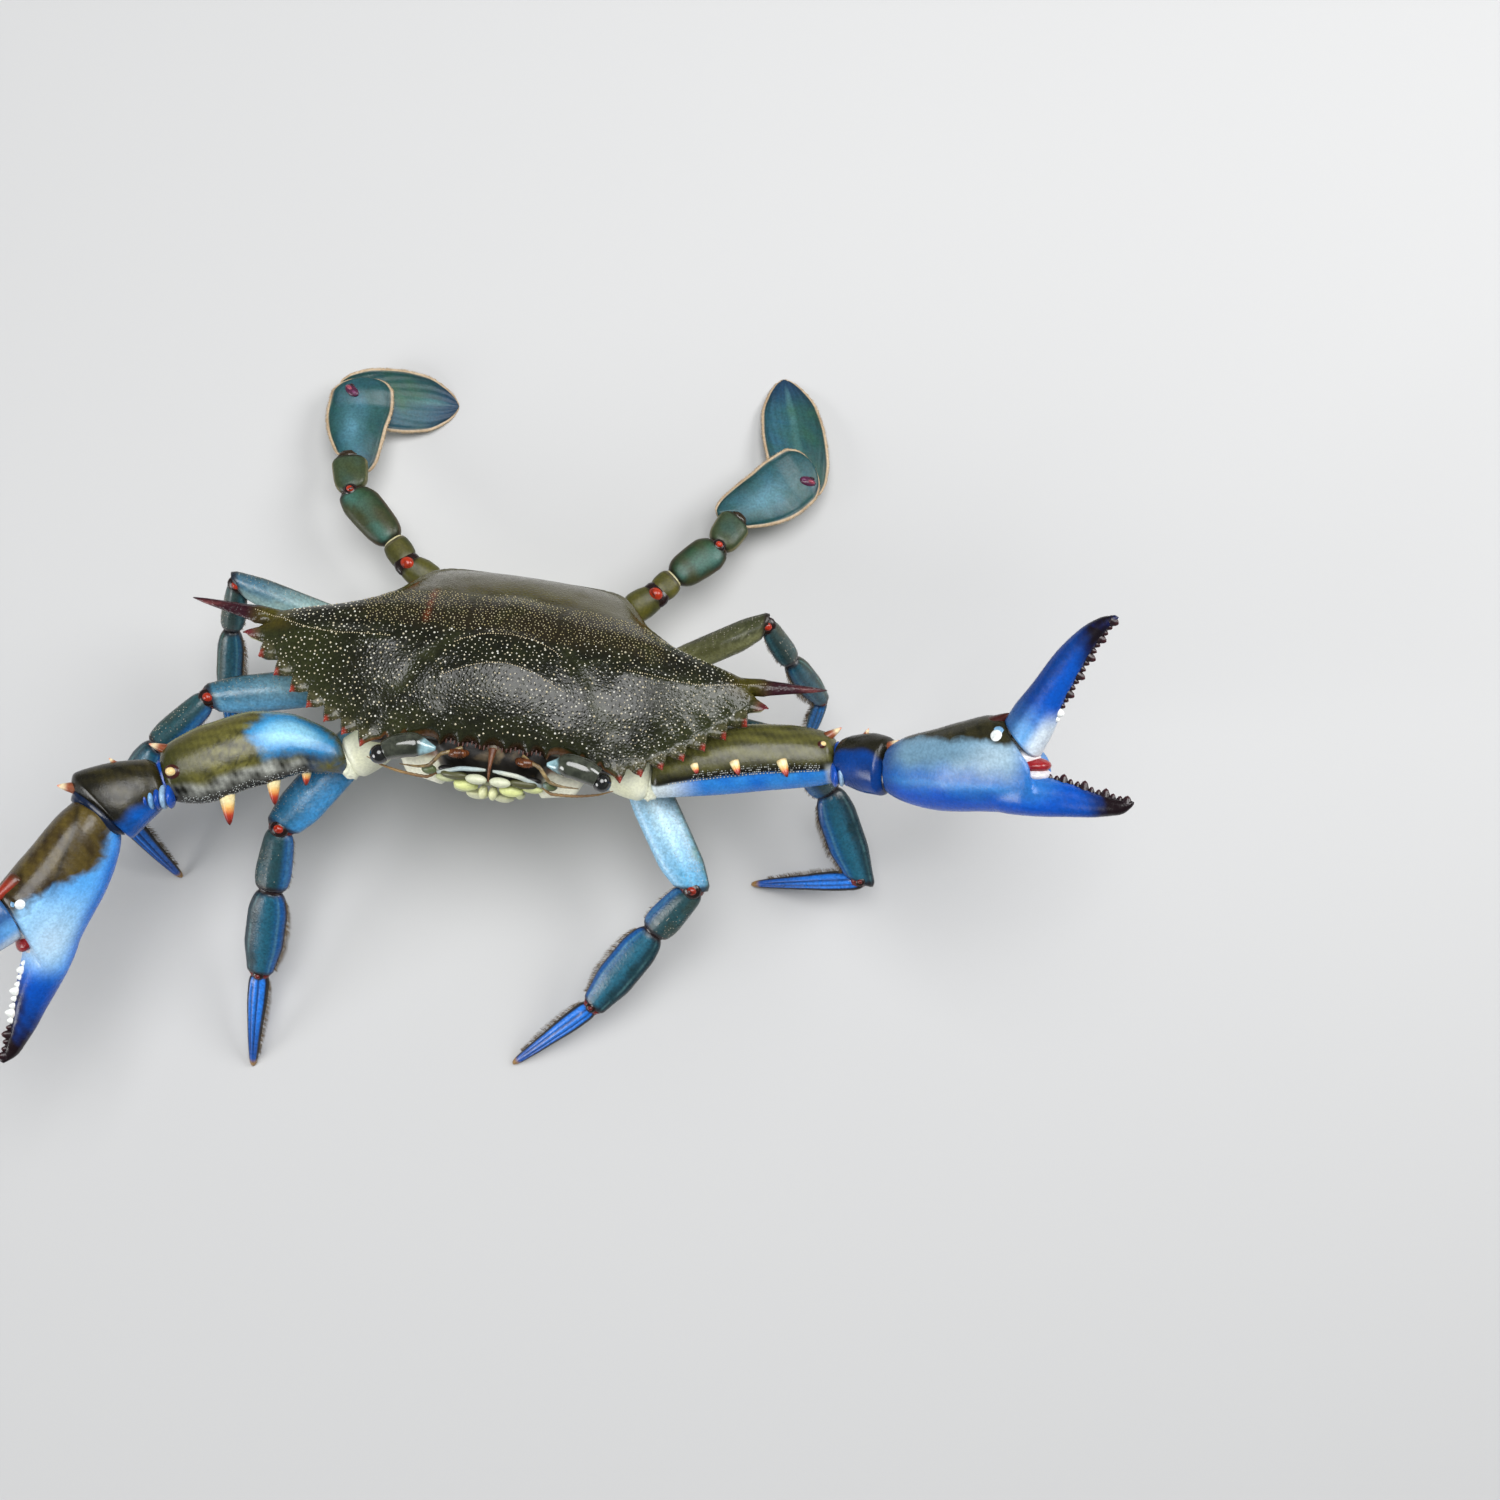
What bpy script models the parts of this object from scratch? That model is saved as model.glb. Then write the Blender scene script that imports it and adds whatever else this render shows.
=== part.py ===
# Blue crab (Callinectes sapidus), an adult male at life size, as a still museum model.
# It stands nose up with its claws spread. It faces -Y, its left side is +X, and the floor is z = 0.
# Sizes are in millimetres, and each mesh is written in metres.
import bpy
import bmesh
from math import cos, sin, pi, radians, sqrt
from mathutils import Matrix, Vector

MM = 0.001
GAP = 0.3                     # clearance between two pieces that meet
UP = Vector((0, 0, 1))

# Body: its own frame has u to the crab's left, v forward and w up from the plane of the side spines
BODY_HEIGHT = 45.0            # middle of the line between the two side spines
BODY_PITCH = radians(32)      # nose up
SPINE_REACH = 82.5            # half the width over the side spines
SPINE_BASE = 62.0
SPINE_RADIUS = 3.1            # at its root, sunk in the shell
SPINE_FLAT = 0.55
SHELL_EDGE = 1.2              # height of the carapace's rim
FRONT_DROP = 0.0042           # how the rim falls towards the front, and then towards the rear
REAR_DROP = 0.0088
SIDE_DROP = 1.5               # how much lower the rim is at the side spines, and from where
SIDE_DROP_START = 46.0
# Half width of the carapace between its teeth, at distances from the rear to the front
CARAPACE_OUTLINE = [(-33, 22.5), (-30, 26), (-24, 29.5), (-19, 31.8), (-14, 34.5), (-11, 37.5), (-8, 41),
                    (-5.5, 45), (-3.5, 50), (-2, 55), (0, 61), (1.5, 63.5), (4, 64.3), (6, 63), (9, 61),
                    (12, 58.5), (16, 54), (20, 49.5), (23.7, 44.5), (27, 39.5), (30, 34.5), (32.5, 31),
                    (34.5, 28)]
# Height of the back's middle line over the rim
CROWN = [(-33, 1.2), (-28, 4.5), (-20, 8), (-10, 10.5), (0, 11.5), (10, 11.5), (20, 9.5), (28, 6.5),
         (34.5, 2.6)]
# Swollen regions of the back: middle (u, v), radius and height
REGIONS = [(32, -8, 14, 1.2), (0, 12, 14, 1.0), (0, -14, 9, 0.8), (38, 12, 12, 0.6)]
GROOVE_MIDDLES = [(16, 20), (14, 0), (9, -8)]
GROOVE_DEPTH = 1.0
GROOVE_WIDTH = 2.6
TEETH = 8                     # on each front side edge, counted from the eye to the side spine
TOOTH_FIRST = (32.5, 34.7)    # tips, along an arc
TOOTH_LAST = (67.7, 8.6)
TOOTH_BOW = 3.2
TOOTH_SIZE = 3.6
TOOTH_FLAT = 0.24
CARAPACE_COLUMNS = 18
TOOTH_SUNK = 6.5              # how far a tooth's root lies behind its tip, inside the shell
TOOTH_ROOT_LIFT = 1.1         # heights of a tooth's root and tip over the rim
TOOTH_TIP_LIFT = 0.8
FRONT_TEETH = [(3.2, 36.0, 1.3), (8.6, 35.2, 1.9), (12.6, 34.6, 1.1)]  # u, v of the tip, base radius
FRONT_TOOTH_SUNK = 4.5

# Underside
STERNUM_HALF_WIDTH = 24.0
STERNUM_HALF_LENGTH = 23.0
STERNUM_MIDDLE = 3.0
STERNUM_DEPTH = 25.0
FACE_BULGE = 2.6
# How far down the underside each ring lies, and how far in from the rim to the breastplate
BODY_LEVELS = [(0.0, 0.0), (0.1, 0.05), (0.2, 0.28), (0.36, 0.6), (0.6, 0.84), (0.85, 0.96), (0.96, 1.06),
               (1.0, 1.22)]
END_FULLNESS = 0.55           # how much less the front and rear ends draw in
ORBIT = (22.4, 34.8, -5.8)
ORBIT_SIZE = (9.4, 5.6, 5.4)
EYE_STALK = [(14.0, 34.8, -5.8), (26.0, 34.9, -6.0)]
EYE_STALK_PROFILE = [(0, 1.8, 1.8), (0.2, 2.8, 2.7), (0.5, 3.4, 3.2), (0.8, 2.9, 2.7), (1, 2.2, 2.0)]
EYE_BALL = (26.6, 35.6, -6.2)
EYE_RADIUS = 2.7
EYE_CLEARANCE = 0.9           # between the ball and its hollow
# Feelers, as places with a radius: the long outer one, and the short folded inner one
ANTENNA = [(13.0, 39.4, -8.6, 1.3), (14.8, 41.2, -9.0, 0.9), (18.5, 42.2, -9.6, 0.5),
           (24.0, 42.0, -10.2, 0.42), (30.0, 41.0, -10.6, 0.34), (35.5, 40.0, -10.4, 0.26)]
ANTENNULE = [(7.4, 37.6, -6.6, 1.5), (8.6, 39.4, -6.0, 1.2), (7.8, 41.2, -5.0, 0.7), (5.8, 42.2, -4.8, 0.4)]
# Mouth plates: v, w, inner edge and outer edge, and how the outer face lies from the inner one
MAXILLIPED_ROWS = [(37.8, -11.5, 3.0, 11.0), (36.3, -15.0, 0.7, 12.0), (33.7, -19.0, 0.7, 11.0),
                   (29.2, -23.4, 0.7, 8.0), (26.2, -26.2, 1.2, 5.5)]
MAXILLIPED_FACE = (1.5, -1.1)
MAXILLIPED_BULGES = [(7.6, 38.0, -12.8, (4.6, 1.8, 2.6)), (3.0, 38.5, -12.0, (2.6, 1.5, 1.6)),
                     (1.9, 37.6, -15.6, (1.3, 1.4, 2.6))]
ABDOMEN_THICKNESS = 1.6
ABDOMEN_AHEAD = (0.5, 7, 15, 23, 31, 36)   # places along the breastplate, forward from its rear end
ABDOMEN_WIDTHS = [16.5, 17.5, 18.0, 17.0, 12.5, 8.0, 6.2, 5.4, 4.8, 4.2, 2.6, 0.8]

# Limb roots in the body's frame, from the claws to the paddles
ROOTS = [(29.5, 22, -16.5), (32, 9, -21), (33, 0, -20), (31.5, -9.5, -18), (27, -30.5, -13.5)]
ROOT_RADII = [6.2, 5.0, 5.0, 4.8, 4.8]
ROOT_RUNS = [(13, 4, -2), (13, 2, -3), (13, 0, -3), (13, -3, -3), (9, -10, -2)]  # from inside to the root
ROOT_LENGTH = 15.0
ROOT_PROFILE = [(0, 0.95, 0.9), (0.7, 1.0, 0.95), (1, 0.86, 0.8)]  # as shares of the root's radius

# A limb's pose: where its first joints are, as places with the body's middle over (0, 0), and for
# each further segment its length, its compass angle from +X and its rise, both in degrees
CLAW_JOINTS = {
    "right": [(-37.6, -35.0, 42.6), (-81.0, -46.8, 48.0)],
    "left": [(39.9, -29.5, 42.6), (87.6, -17.5, 48.0)],
}
CLAW_POSES = {"right": [(17.1, -144, 13), (69.0, -103, 3)], "left": [(16.5, -5, 42), (65.0, 0, 39)]}
CLAW_ROLL = {"right": radians(45), "left": radians(15)}
CLAW_OPENING = {"right": radians(30), "left": radians(55)}
LEG_KNEES = {
    "right_2": (-54.1, -54.3, 33.5),
    "left_2": (55.3, -55.4, 32.2),
    "right_3": (-75.8, -23.7, 41.2),
    "left_3": (78.6, -16.0, 37.1),
    "right_4": (-73.8, 7.1, 40.1),
    "left_4": (64.2, 15.4, 49.1),
}
LEG_POSES = {
    "right_2": [(17, -94, -17), (27.2, -96, -31), (30.6, -92, None)],
    "left_2": [(17.5, -124, -29), (28.4, -121, -20), (31.5, -135, None)],
    "right_3": [(17.9, -129, -6), (27.8, -127, -38), (30.6, -51, None)],
    "left_3": [(18, -35, -46), (28.7, -60, -20), (32.7, -170, None)],
    "right_4": [(14.9, -104, -44), (23, -95, -38), (27.1, -78, None)],
    "left_4": [(14.4, -40, -43), (22.3, -31, -52), (26.2, -97, None)],
}
PADDLE_JOINTS = {
    "right": [(-35.0, 22.7, 19.0), (-40.2, 28.7, 18.0)],
    "left": [(34.0, 24.5, 19.0), (38.2, 30.2, 18.0)],
}
PADDLE_POSES = {
    "right": [(19.1, 138, -8), (11.6, 106, -15), (19.7, 98, -14), (28.8, 8, None)],
    "left": [(16.0, 45, -8), (11.4, 65, -15), (23.2, 39, -12), (34.0, 106, None)],
}
TIP_HEIGHT = 0.15             # middle of a leg's tip over the floor, where its underside is cut flat
FOOT_STATIONS = [0, 0.1, 0.25, 0.45, 0.65, 0.85, 0.96, 1]

# Sections along each segment: place along it, half width, half thickness
LEG_PROFILES = {
    "merus": [(0, 3.0, 2.2), (0.12, 3.8, 2.6), (0.45, 5.4, 3.1), (0.8, 5.3, 3.1), (1, 3.9, 2.6)],
    "carpus": [(0, 3.2, 2.4), (0.35, 3.9, 2.7), (0.75, 4.3, 2.8), (1, 3.7, 2.4)],
    "propodus": [(0, 3.3, 2.2), (0.3, 4.8, 2.5), (0.6, 4.8, 2.5), (0.88, 3.7, 2.1), (1, 3.2, 1.9)],
    "dactyl": [(0, 2.8, 1.8), (0.2, 2.8, 1.7), (0.5, 2.2, 1.4), (0.8, 1.5, 1.1), (0.96, 0.95, 0.85),
               (1, 0.5, 0.45)],
}
CLAW_ARM_PROFILES = {
    "ischium": [(0, 5.4, 5.2, 0), (0.5, 5.8, 5.6, 0), (1, 5.6, 5.2, 0.3)],
    "merus": [(0, 5.4, 5.0, 0.4), (0.12, 7.0, 5.6, 1.4), (0.3, 9.3, 6.2, 2.7), (0.5, 10.3, 6.5, 2.9),
              (0.75, 9.6, 6.6, 1.4), (0.9, 8.2, 6.4, 0.3), (1, 6.6, 5.4, 0)],
    "carpus": [(0, 6.2, 5.2), (0.3, 8.0, 6.4), (0.7, 8.8, 6.8), (1, 6.8, 5.2)],
}
ARM_SPINES = (0.3, 0.56, 0.82)             # places of the spines along the arm's front edge
ARM_SPINE = (5.5, 7.4, 2.4, -0.5, 2.1)     # root from the arm's middle, run out, forward, up, radius
ARM_END_SPINE = (0.9, 6.0, 4.6, 4.0, 1.0, 1.7)      # place, then as above, on the rear edge
WRIST_SPINE = (0.6, 5.5, 4.6, 2.5, 1.5, 1.7)
WRIST_SPINE_LIFT = 2.0
PADDLE_PROFILES = {
    "coxa": [(0, 5.0, 4.4), (0.5, 5.2, 4.4), (1, 4.2, 3.6)],
    "ischium": [(0, 4.0, 3.4), (0.6, 4.6, 3.2), (1, 3.9, 2.8)],
    "merus": [(0, 3.6, 2.6), (0.3, 5.0, 2.9), (0.75, 5.4, 2.9), (1, 4.1, 2.4)],
    "carpus": [(0, 3.7, 2.3), (0.4, 4.8, 2.4), (0.8, 5.0, 2.2), (1, 3.9, 1.9)],
    "propodus": [(0, 3.5, 1.7), (0.25, 6.2, 1.7), (0.6, 8.3, 1.4), (0.85, 7.4, 1.2), (1, 4.4, 1.1)],
    "dactyl": [(0, 3.4, 1.0), (0.15, 6.6, 1.0), (0.4, 8.6, 0.95), (0.7, 7.8, 0.8), (0.9, 4.6, 0.6),
               (1, 1.4, 0.4)],
}
# Palm: place along it, height of its middle, half height and half thickness
PALM = [(0, 0, 6.2, 4.8), (5, 0.4, 8.4, 6.2), (12, 0.8, 10.0, 7.1), (20, 2.0, 11.2, 7.8),
        (28, 3.3, 11.8, 7.6), (36.5, 3.6, 11.2, 6.4)]
PALM_END = (36.5, 10.0)       # middle of the slanted face that carries the movable finger
PALM_END_SLANT = radians(40)
FIXED_FINGER = [(26, -2.0, 5.0, 4.6), (33, -3.0, 5.6, 4.9), (41, -3.6, 4.7, 4.1), (49, -4.2, 3.9, 3.3),
                (56, -4.9, 2.8, 2.5), (61.5, -4.9, 1.8, 1.7), (64.5, -3.6, 0.7, 0.7)]
MOVABLE_FINGER = [(0, 0, 6.0, 4.6), (6, 0.4, 5.6, 4.3), (13, 0.9, 4.5, 3.8), (23, 1.2, 3.7, 3.1),
                  (31, 0.6, 2.7, 2.3), (36.5, -0.8, 1.6, 1.4), (39, -2.2, 0.6, 0.6)]
FINGER_TEETH = 7
FINGER_TOOTH = 2.4
FINGER_TOOTH_RADIUS = 1.7
FINGER_TOOTH_SUNK = 1.6
FIXED_BITE = (41, 61)         # where the teeth start and end along each finger
MOVABLE_BITE = (8, 36)
PALM_HORN = [(27, 13.0), (33.5, 17.6)]     # spine over the finger's hinge: along the palm and height
PALM_HORN_RADIUS = 2.2
PALM_END_REACH = 5.0          # how far the slanted face may pull the palm's last section

MATERIALS = {
    "shell_olive": ((0.055, 0.06, 0.028), 0.28),
    "underside_cream": ((0.62, 0.62, 0.5), 0.42),
    "mouth_cream": ((0.72, 0.73, 0.46), 0.35),
    "eye_dark": ((0.02, 0.022, 0.018), 0.08),
    "feeler_brown": ((0.28, 0.13, 0.05), 0.45),
    "arm_olive": ((0.12, 0.13, 0.055), 0.32),
    "claw_blue": ((0.02, 0.12, 0.55), 0.28),
    "leg_teal": ((0.03, 0.13, 0.17), 0.34),
    "paddle_blue": ((0.09, 0.21, 0.28), 0.36),
}
SIDES = 10


def body_point(u, v, w):
    """A place in the body's frame, as a place above the floor."""
    along = cos(BODY_PITCH)
    rise = sin(BODY_PITCH)
    return Vector((u, -v * along + w * rise, BODY_HEIGHT + v * rise + w * along))


def blend(table, t):
    """Value from a table of (place, value, ...) rows, eased between rows."""
    if t <= table[0][0]:
        return list(table[0][1:])
    for low, high in zip(table, table[1:]):
        if t <= high[0]:
            part = (t - low[0]) / (high[0] - low[0])
            return [a + (b - a) * part for a, b in zip(low[1:], high[1:])]
    return list(table[-1][1:])


def heading(turn, rise):
    turn = radians(turn)
    rise = radians(rise)
    return Vector((cos(rise) * cos(turn), cos(rise) * sin(turn), sin(rise)))


def new_object(name, bm, parts):
    """Closes the mesh, turns its faces out and puts it in the collection, in metres."""
    bmesh.ops.remove_doubles(bm, verts=bm.verts, dist=0.001)
    bmesh.ops.triangulate(bm, faces=bm.faces)
    bmesh.ops.recalc_face_normals(bm, faces=bm.faces)
    bmesh.ops.scale(bm, vec=(MM, MM, MM), verts=bm.verts)
    mesh = bpy.data.meshes.new(name)
    bm.to_mesh(mesh)
    bm.free()
    item = bpy.data.objects.new(name, mesh)
    parts.objects.link(item)
    return item


def loft(rings):
    """A closed body through rings of equally many points, with a fan over each end."""
    bm = bmesh.new()
    rows = [[bm.verts.new(point) for point in ring] for ring in rings]
    count = len(rings[0])
    for lower, upper in zip(rows, rows[1:]):
        for i in range(count):
            j = (i + 1) % count
            bm.faces.new((lower[i], lower[j], upper[j], upper[i]))
    for row, ring in ((rows[0], rings[0]), (rows[-1], rings[-1])):
        middle = bm.verts.new(sum((Vector(point) for point in ring), Vector()) / count)
        for i in range(count):
            bm.faces.new((row[i], row[(i + 1) % count], middle))
    return bm


def oval_ring(middle, wide, thick, half_width, half_thickness, sides, square=1.0):
    """Points round an oval; a square value under 1 fills out its corners."""
    ring = []
    for i in range(sides):
        angle = 2 * pi * (i + 0.5) / sides
        a = abs(cos(angle)) ** square * (1 if cos(angle) > 0 else -1)
        b = abs(sin(angle)) ** square * (1 if sin(angle) > 0 else -1)
        ring.append(middle + wide * (a * half_width) + thick * (b * half_thickness))
    return ring


def mitre(ring, anchor, direction, normal, side):
    """How far each ring point slides along the segment to lie on the joint's plane."""
    return [(side * GAP / 2 - (point - anchor).dot(normal)) / direction.dot(normal) for point in ring]


def segment(start, end, first_plane, last_plane, profile, sides=SIDES, rows=7, sag=0.0, stations=None):
    """A limb segment whose ends lie on the planes that it shares with its neighbours."""
    stations = stations or [k / rows for k in range(rows + 1)]
    direction = (end - start).normalized()
    length = (end - start).length
    wide = direction.cross(UP).normalized()
    if wide.y < 0:
        wide = -wide
    thick = wide.cross(direction).normalized()
    if thick.z < 0:
        thick = -thick
    rings = []
    for t in stations:
        half_width, half_thickness, *offset = blend(profile, t)
        middle = start + direction * (length * t) + thick * (sag * sin(pi * t))
        if offset:
            middle = middle + wide * offset[0]
        rings.append(oval_ring(middle, wide, thick, half_width, half_thickness, sides))
    slides = [[0.0] * sides, [0.0] * sides]
    if first_plane is not None:
        slides[0] = mitre(rings[0], start, direction, first_plane, 1)
    if last_plane is not None:
        slides[1] = mitre(rings[-1], end, direction, last_plane, -1)
    for t, ring in zip(stations, rings):
        for i in range(sides):
            slide = slides[0][i] * max(0.0, 1 - 2 * t) + slides[1][i] * max(0.0, 2 * t - 1)
            ring[i] = ring[i] + direction * slide
    return loft(rings)


def spike(base, tip, radius, sides=5, flat=1.0, across=None):
    """A pointed cone from its base to its tip, thinner by flat along one cross direction."""
    axis = tip - base
    length = axis.length
    axis = axis.normalized()
    side = across if across is not None else (axis.cross(UP) if abs(axis.z) < 0.9 else Vector((1, 0, 0)))
    side = (side - axis * side.dot(axis)).normalized()
    other = axis.cross(side)
    bm = bmesh.new()
    bmesh.ops.create_cone(bm, cap_ends=True, segments=sides, radius1=radius, radius2=0.12 * radius,
                          depth=length)
    turn = Matrix((side, other * flat, axis)).transposed().to_4x4()
    turn.translation = (base + tip) / 2
    bmesh.ops.transform(bm, matrix=turn, verts=bm.verts)
    return bm


def ball(middle, radii, axes=None, rings=8):
    """An ellipsoid with its three half sizes along the given axes."""
    bm = bmesh.new()
    bmesh.ops.create_uvsphere(bm, u_segments=rings + 4, v_segments=rings, radius=1.0)
    axes = axes or (Vector((1, 0, 0)), Vector((0, 1, 0)), UP)
    turn = Matrix([axis * radius for axis, radius in zip(axes, radii)]).transposed().to_4x4()
    turn.translation = middle
    bmesh.ops.transform(bm, matrix=turn, verts=bm.verts)
    return bm


def keep_largest(item):
    """Drops every loose surface of a mesh but the one with the most faces."""
    bm = bmesh.new()
    bm.from_mesh(item.data)
    left = set(bm.faces)
    best = []
    while left:
        stack = [left.pop()]
        island = list(stack)
        while stack:
            for edge in stack.pop().edges:
                for face in edge.link_faces:
                    if face in left:
                        left.remove(face)
                        stack.append(face)
                        island.append(face)
        if len(island) > len(best):
            best = island
    keep = set(best)
    bmesh.ops.delete(bm, geom=[face for face in bm.faces if face not in keep], context="FACES")
    bmesh.ops.dissolve_degenerate(bm, dist=0.00001, edges=bm.edges)
    bmesh.ops.triangulate(bm, faces=bm.faces)
    bm.to_mesh(item.data)
    bm.free()


def apply_modifiers(item):
    graph = bpy.context.evaluated_depsgraph_get()
    mesh = bpy.data.meshes.new_from_object(item.evaluated_get(graph))
    item.modifiers.clear()
    item.data = mesh


def fuse(item, pieces, operation="UNION"):
    """Joins a collection of closed pieces to an object, or cuts them from it, in one Boolean."""
    if not pieces:
        return item
    group = bpy.data.collections.new(item.name + "_pieces")
    bpy.context.scene.collection.children.link(group)
    for number, bm in enumerate(pieces):
        tool = new_object("%s_piece_%d" % (item.name, number), bm, group)
        tool.hide_render = True
        tool.display_type = "WIRE"
    boolean = item.modifiers.new("join", "BOOLEAN")
    boolean.operation = operation
    boolean.operand_type = "COLLECTION"
    boolean.collection = group
    boolean.solver = "EXACT"
    apply_modifiers(item)
    for tool in list(group.objects):
        bpy.data.objects.remove(tool)
    bpy.data.collections.remove(group)
    keep_largest(item)
    return item


def rim_height(u, v):
    """Underside of the carapace, which droops towards its front, its rear and its side spines."""
    droop = SIDE_DROP * (max(0.0, abs(u) - SIDE_DROP_START) / (SPINE_BASE - SIDE_DROP_START)) ** 2
    return -(FRONT_DROP if v > 0 else REAR_DROP) * v * v - droop


def carapace_top(u, v, half_width):
    """Height of the back over the plane of the side spines."""
    crown = blend(CROWN, v)[0]
    across = min(1.0, abs(u) / half_width)
    height = SHELL_EDGE + max(0.0, crown - SHELL_EDGE) * (1 - across ** 2.4) ** 0.9
    fade = min(1.0, (1 - across) * 5)
    for place_u, place_v, radius, swell in REGIONS:
        distance = ((abs(u) - place_u) ** 2 + (v - place_v) ** 2) / (radius * radius)
        height += swell * fade * max(0.0, 1 - distance) ** 2
    for place_u, place_v in GROOVE_MIDDLES:
        distance = sqrt((abs(u) - place_u) ** 2 + ((v - place_v) / 4.5) ** 2)
        height -= GROOVE_DEPTH * fade * max(0.0, 1 - distance / GROOVE_WIDTH)
    return rim_height(0, v) + max(SHELL_EDGE, height)


def carapace_rows():
    """Places from the rear to the front where the outline is drawn, closer where it turns fast."""
    rows = []
    for (low, _), (high, _) in zip(CARAPACE_OUTLINE, CARAPACE_OUTLINE[1:]):
        rows.append(low)
        if high - low > 3.2:
            rows.append((low + high) / 2)
    rows.append(CARAPACE_OUTLINE[-1][0])
    return rows


def tooth_tip(number):
    """Tip of a front side tooth, on a bowed line from the eye to the side spine."""
    t = number / (TEETH - 1)
    u = TOOTH_FIRST[0] + (TOOTH_LAST[0] - TOOTH_FIRST[0]) * t
    v = TOOTH_FIRST[1] + (TOOTH_LAST[1] - TOOTH_FIRST[1]) * t + TOOTH_BOW * sin(pi * t)
    return u, v


def carapace_spikes():
    """Side spines, front side teeth and the teeth between the eyes."""
    spikes = []
    for side in (-1, 1):
        base = body_point(side * (SPINE_BASE - 4), 2.6, 1.0)
        tip = body_point(side * SPINE_REACH, 0, 1.8)
        forward = body_point(0, 1, 0) - body_point(0, 0, 0)
        spikes.append(spike(base, tip, SPINE_RADIUS, 7, SPINE_FLAT, forward))
        for number in range(TEETH):
            u, v = tooth_tip(number)
            out = Vector((u - 8, v + 14)).normalized()
            root_u = u - out.x * TOOTH_SUNK
            root_v = v - out.y * TOOTH_SUNK
            root = body_point(side * root_u, root_v, rim_height(0, root_v) + TOOTH_ROOT_LIFT)
            tip = body_point(side * u, v, rim_height(0, v) + TOOTH_TIP_LIFT)
            along_rim = body_point(-side * out.y, out.x, 0) - body_point(0, 0, 0)
            spikes.append(spike(root, tip, TOOTH_SIZE, 6, TOOTH_FLAT, along_rim))
        for u, v, radius in FRONT_TEETH:
            root_v = v - FRONT_TOOTH_SUNK
            root = body_point(side * u, root_v, rim_height(0, root_v) + TOOTH_ROOT_LIFT)
            tip = body_point(side * u, v, rim_height(0, v) + TOOTH_TIP_LIFT)
            spikes.append(spike(root, tip, radius, 5, 0.45, Vector((1, 0, 0))))
    return spikes


def orbits():
    """The two hollows that hold the eyes."""
    middle = body_point(0, 0, 0)
    axes = (Vector((1, 0, 0)), body_point(0, 1, 0) - middle, body_point(0, 0, 1) - middle)
    hollows = []
    for side in (-1, 1):
        hollows.append(ball(body_point(side * ORBIT[0], ORBIT[1], ORBIT[2]), ORBIT_SIZE, axes, 9))
        ball_middle = body_point(side * EYE_BALL[0], EYE_BALL[1], EYE_BALL[2])
        hollows.append(ball(ball_middle, [EYE_RADIUS + EYE_CLEARANCE] * 3, axes, 8))
    return hollows


def make_carapace(parts):
    rings = []
    for v in carapace_rows():
        half_width = blend(CARAPACE_OUTLINE, v)[0]
        steps = [2 * i / CARAPACE_COLUMNS - 1 for i in range(CARAPACE_COLUMNS + 1)]
        spread = [half_width * sin(pi / 2 * step) for step in steps]
        top = [body_point(u, v, carapace_top(u, v, half_width)) for u in spread]
        bottom = []
        for share in (1, 0.9, 0.75, 0.4, 0, -0.4, -0.75, -0.9, -1):
            bottom.append(body_point(half_width * share, v, rim_height(half_width * share, v)))
        rings.append(top + bottom)
    shell = new_object("carapace", loft(rings), parts)
    fuse(shell, carapace_spikes())
    return fuse(shell, orbits(), "DIFFERENCE")


def outline_ring(count):
    """Points round the carapace's outline, as many on each side, from the front round to the rear."""
    right = [(half, v) for v, half in reversed(CARAPACE_OUTLINE)]
    lengths = [0.0]
    for a, b in zip(right, right[1:]):
        lengths.append(lengths[-1] + sqrt((a[0] - b[0]) ** 2 + (a[1] - b[1]) ** 2))
    half_ring = []
    for i in range(count):
        wanted = lengths[-1] * i / (count - 1)
        for k in range(len(right) - 1):
            if wanted <= lengths[k + 1] + 1e-9:
                part = (wanted - lengths[k]) / (lengths[k + 1] - lengths[k])
                half_ring.append((right[k][0] + (right[k + 1][0] - right[k][0]) * part,
                                  right[k][1] + (right[k + 1][1] - right[k][1]) * part))
                break
    rear_v, rear_half = CARAPACE_OUTLINE[0]
    front_v, front_half = CARAPACE_OUTLINE[-1]
    front = [(front_half * share, front_v) for share in (-0.75, -0.4, 0.0, 0.4, 0.75)]
    rear = [(rear_half * share, rear_v) for share in (0.6, 0.0, -0.6)]
    return front + half_ring + rear + [(-u, v) for u, v in reversed(half_ring)]


def flank_point(u, v, depth, inward):
    """A point on the underside, some way down from a point of the carapace's outline."""
    reach = sqrt((u / STERNUM_HALF_WIDTH) ** 2 + ((v - STERNUM_MIDDLE) / STERNUM_HALF_LENGTH) ** 2)
    target_u = u / reach
    target_v = STERNUM_MIDDLE + (v - STERNUM_MIDDLE) / reach
    at_end = abs(v) > 25 and abs(u) < 30
    pull = inward * (1 - END_FULLNESS * (1 - depth)) if at_end else inward
    bulge = FACE_BULGE * sin(pi * min(1.0, depth * 1.25)) if at_end and v > 0 else 0.0
    top = rim_height(u, v) - GAP
    height = top + (-STERNUM_DEPTH - top) * depth
    return body_point(u + (target_u - u) * pull, v + (target_v - v) * pull + bulge, height)


def make_ventral_body(parts):
    """Underside from the carapace's rim to the breastplate, with a root for each limb."""
    outline = outline_ring(15)
    rings = [[flank_point(u, v, depth, inward) for u, v in outline] for depth, inward in BODY_LEVELS]
    for share in (0.85, 0.5, 0.12):
        inner = []
        for u, v in outline:
            inner.append(body_point(u * share, v * share, rim_height(u * share, v * share) - GAP))
        rings.insert(0, inner)
    body = new_object("ventral_body", loft(rings), parts)
    fuse(body, limb_roots())
    return fuse(body, orbits(), "DIFFERENCE")


def root_place(number, side):
    u, v, w = ROOTS[number]
    return body_point(side * u, v, w)


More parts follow.
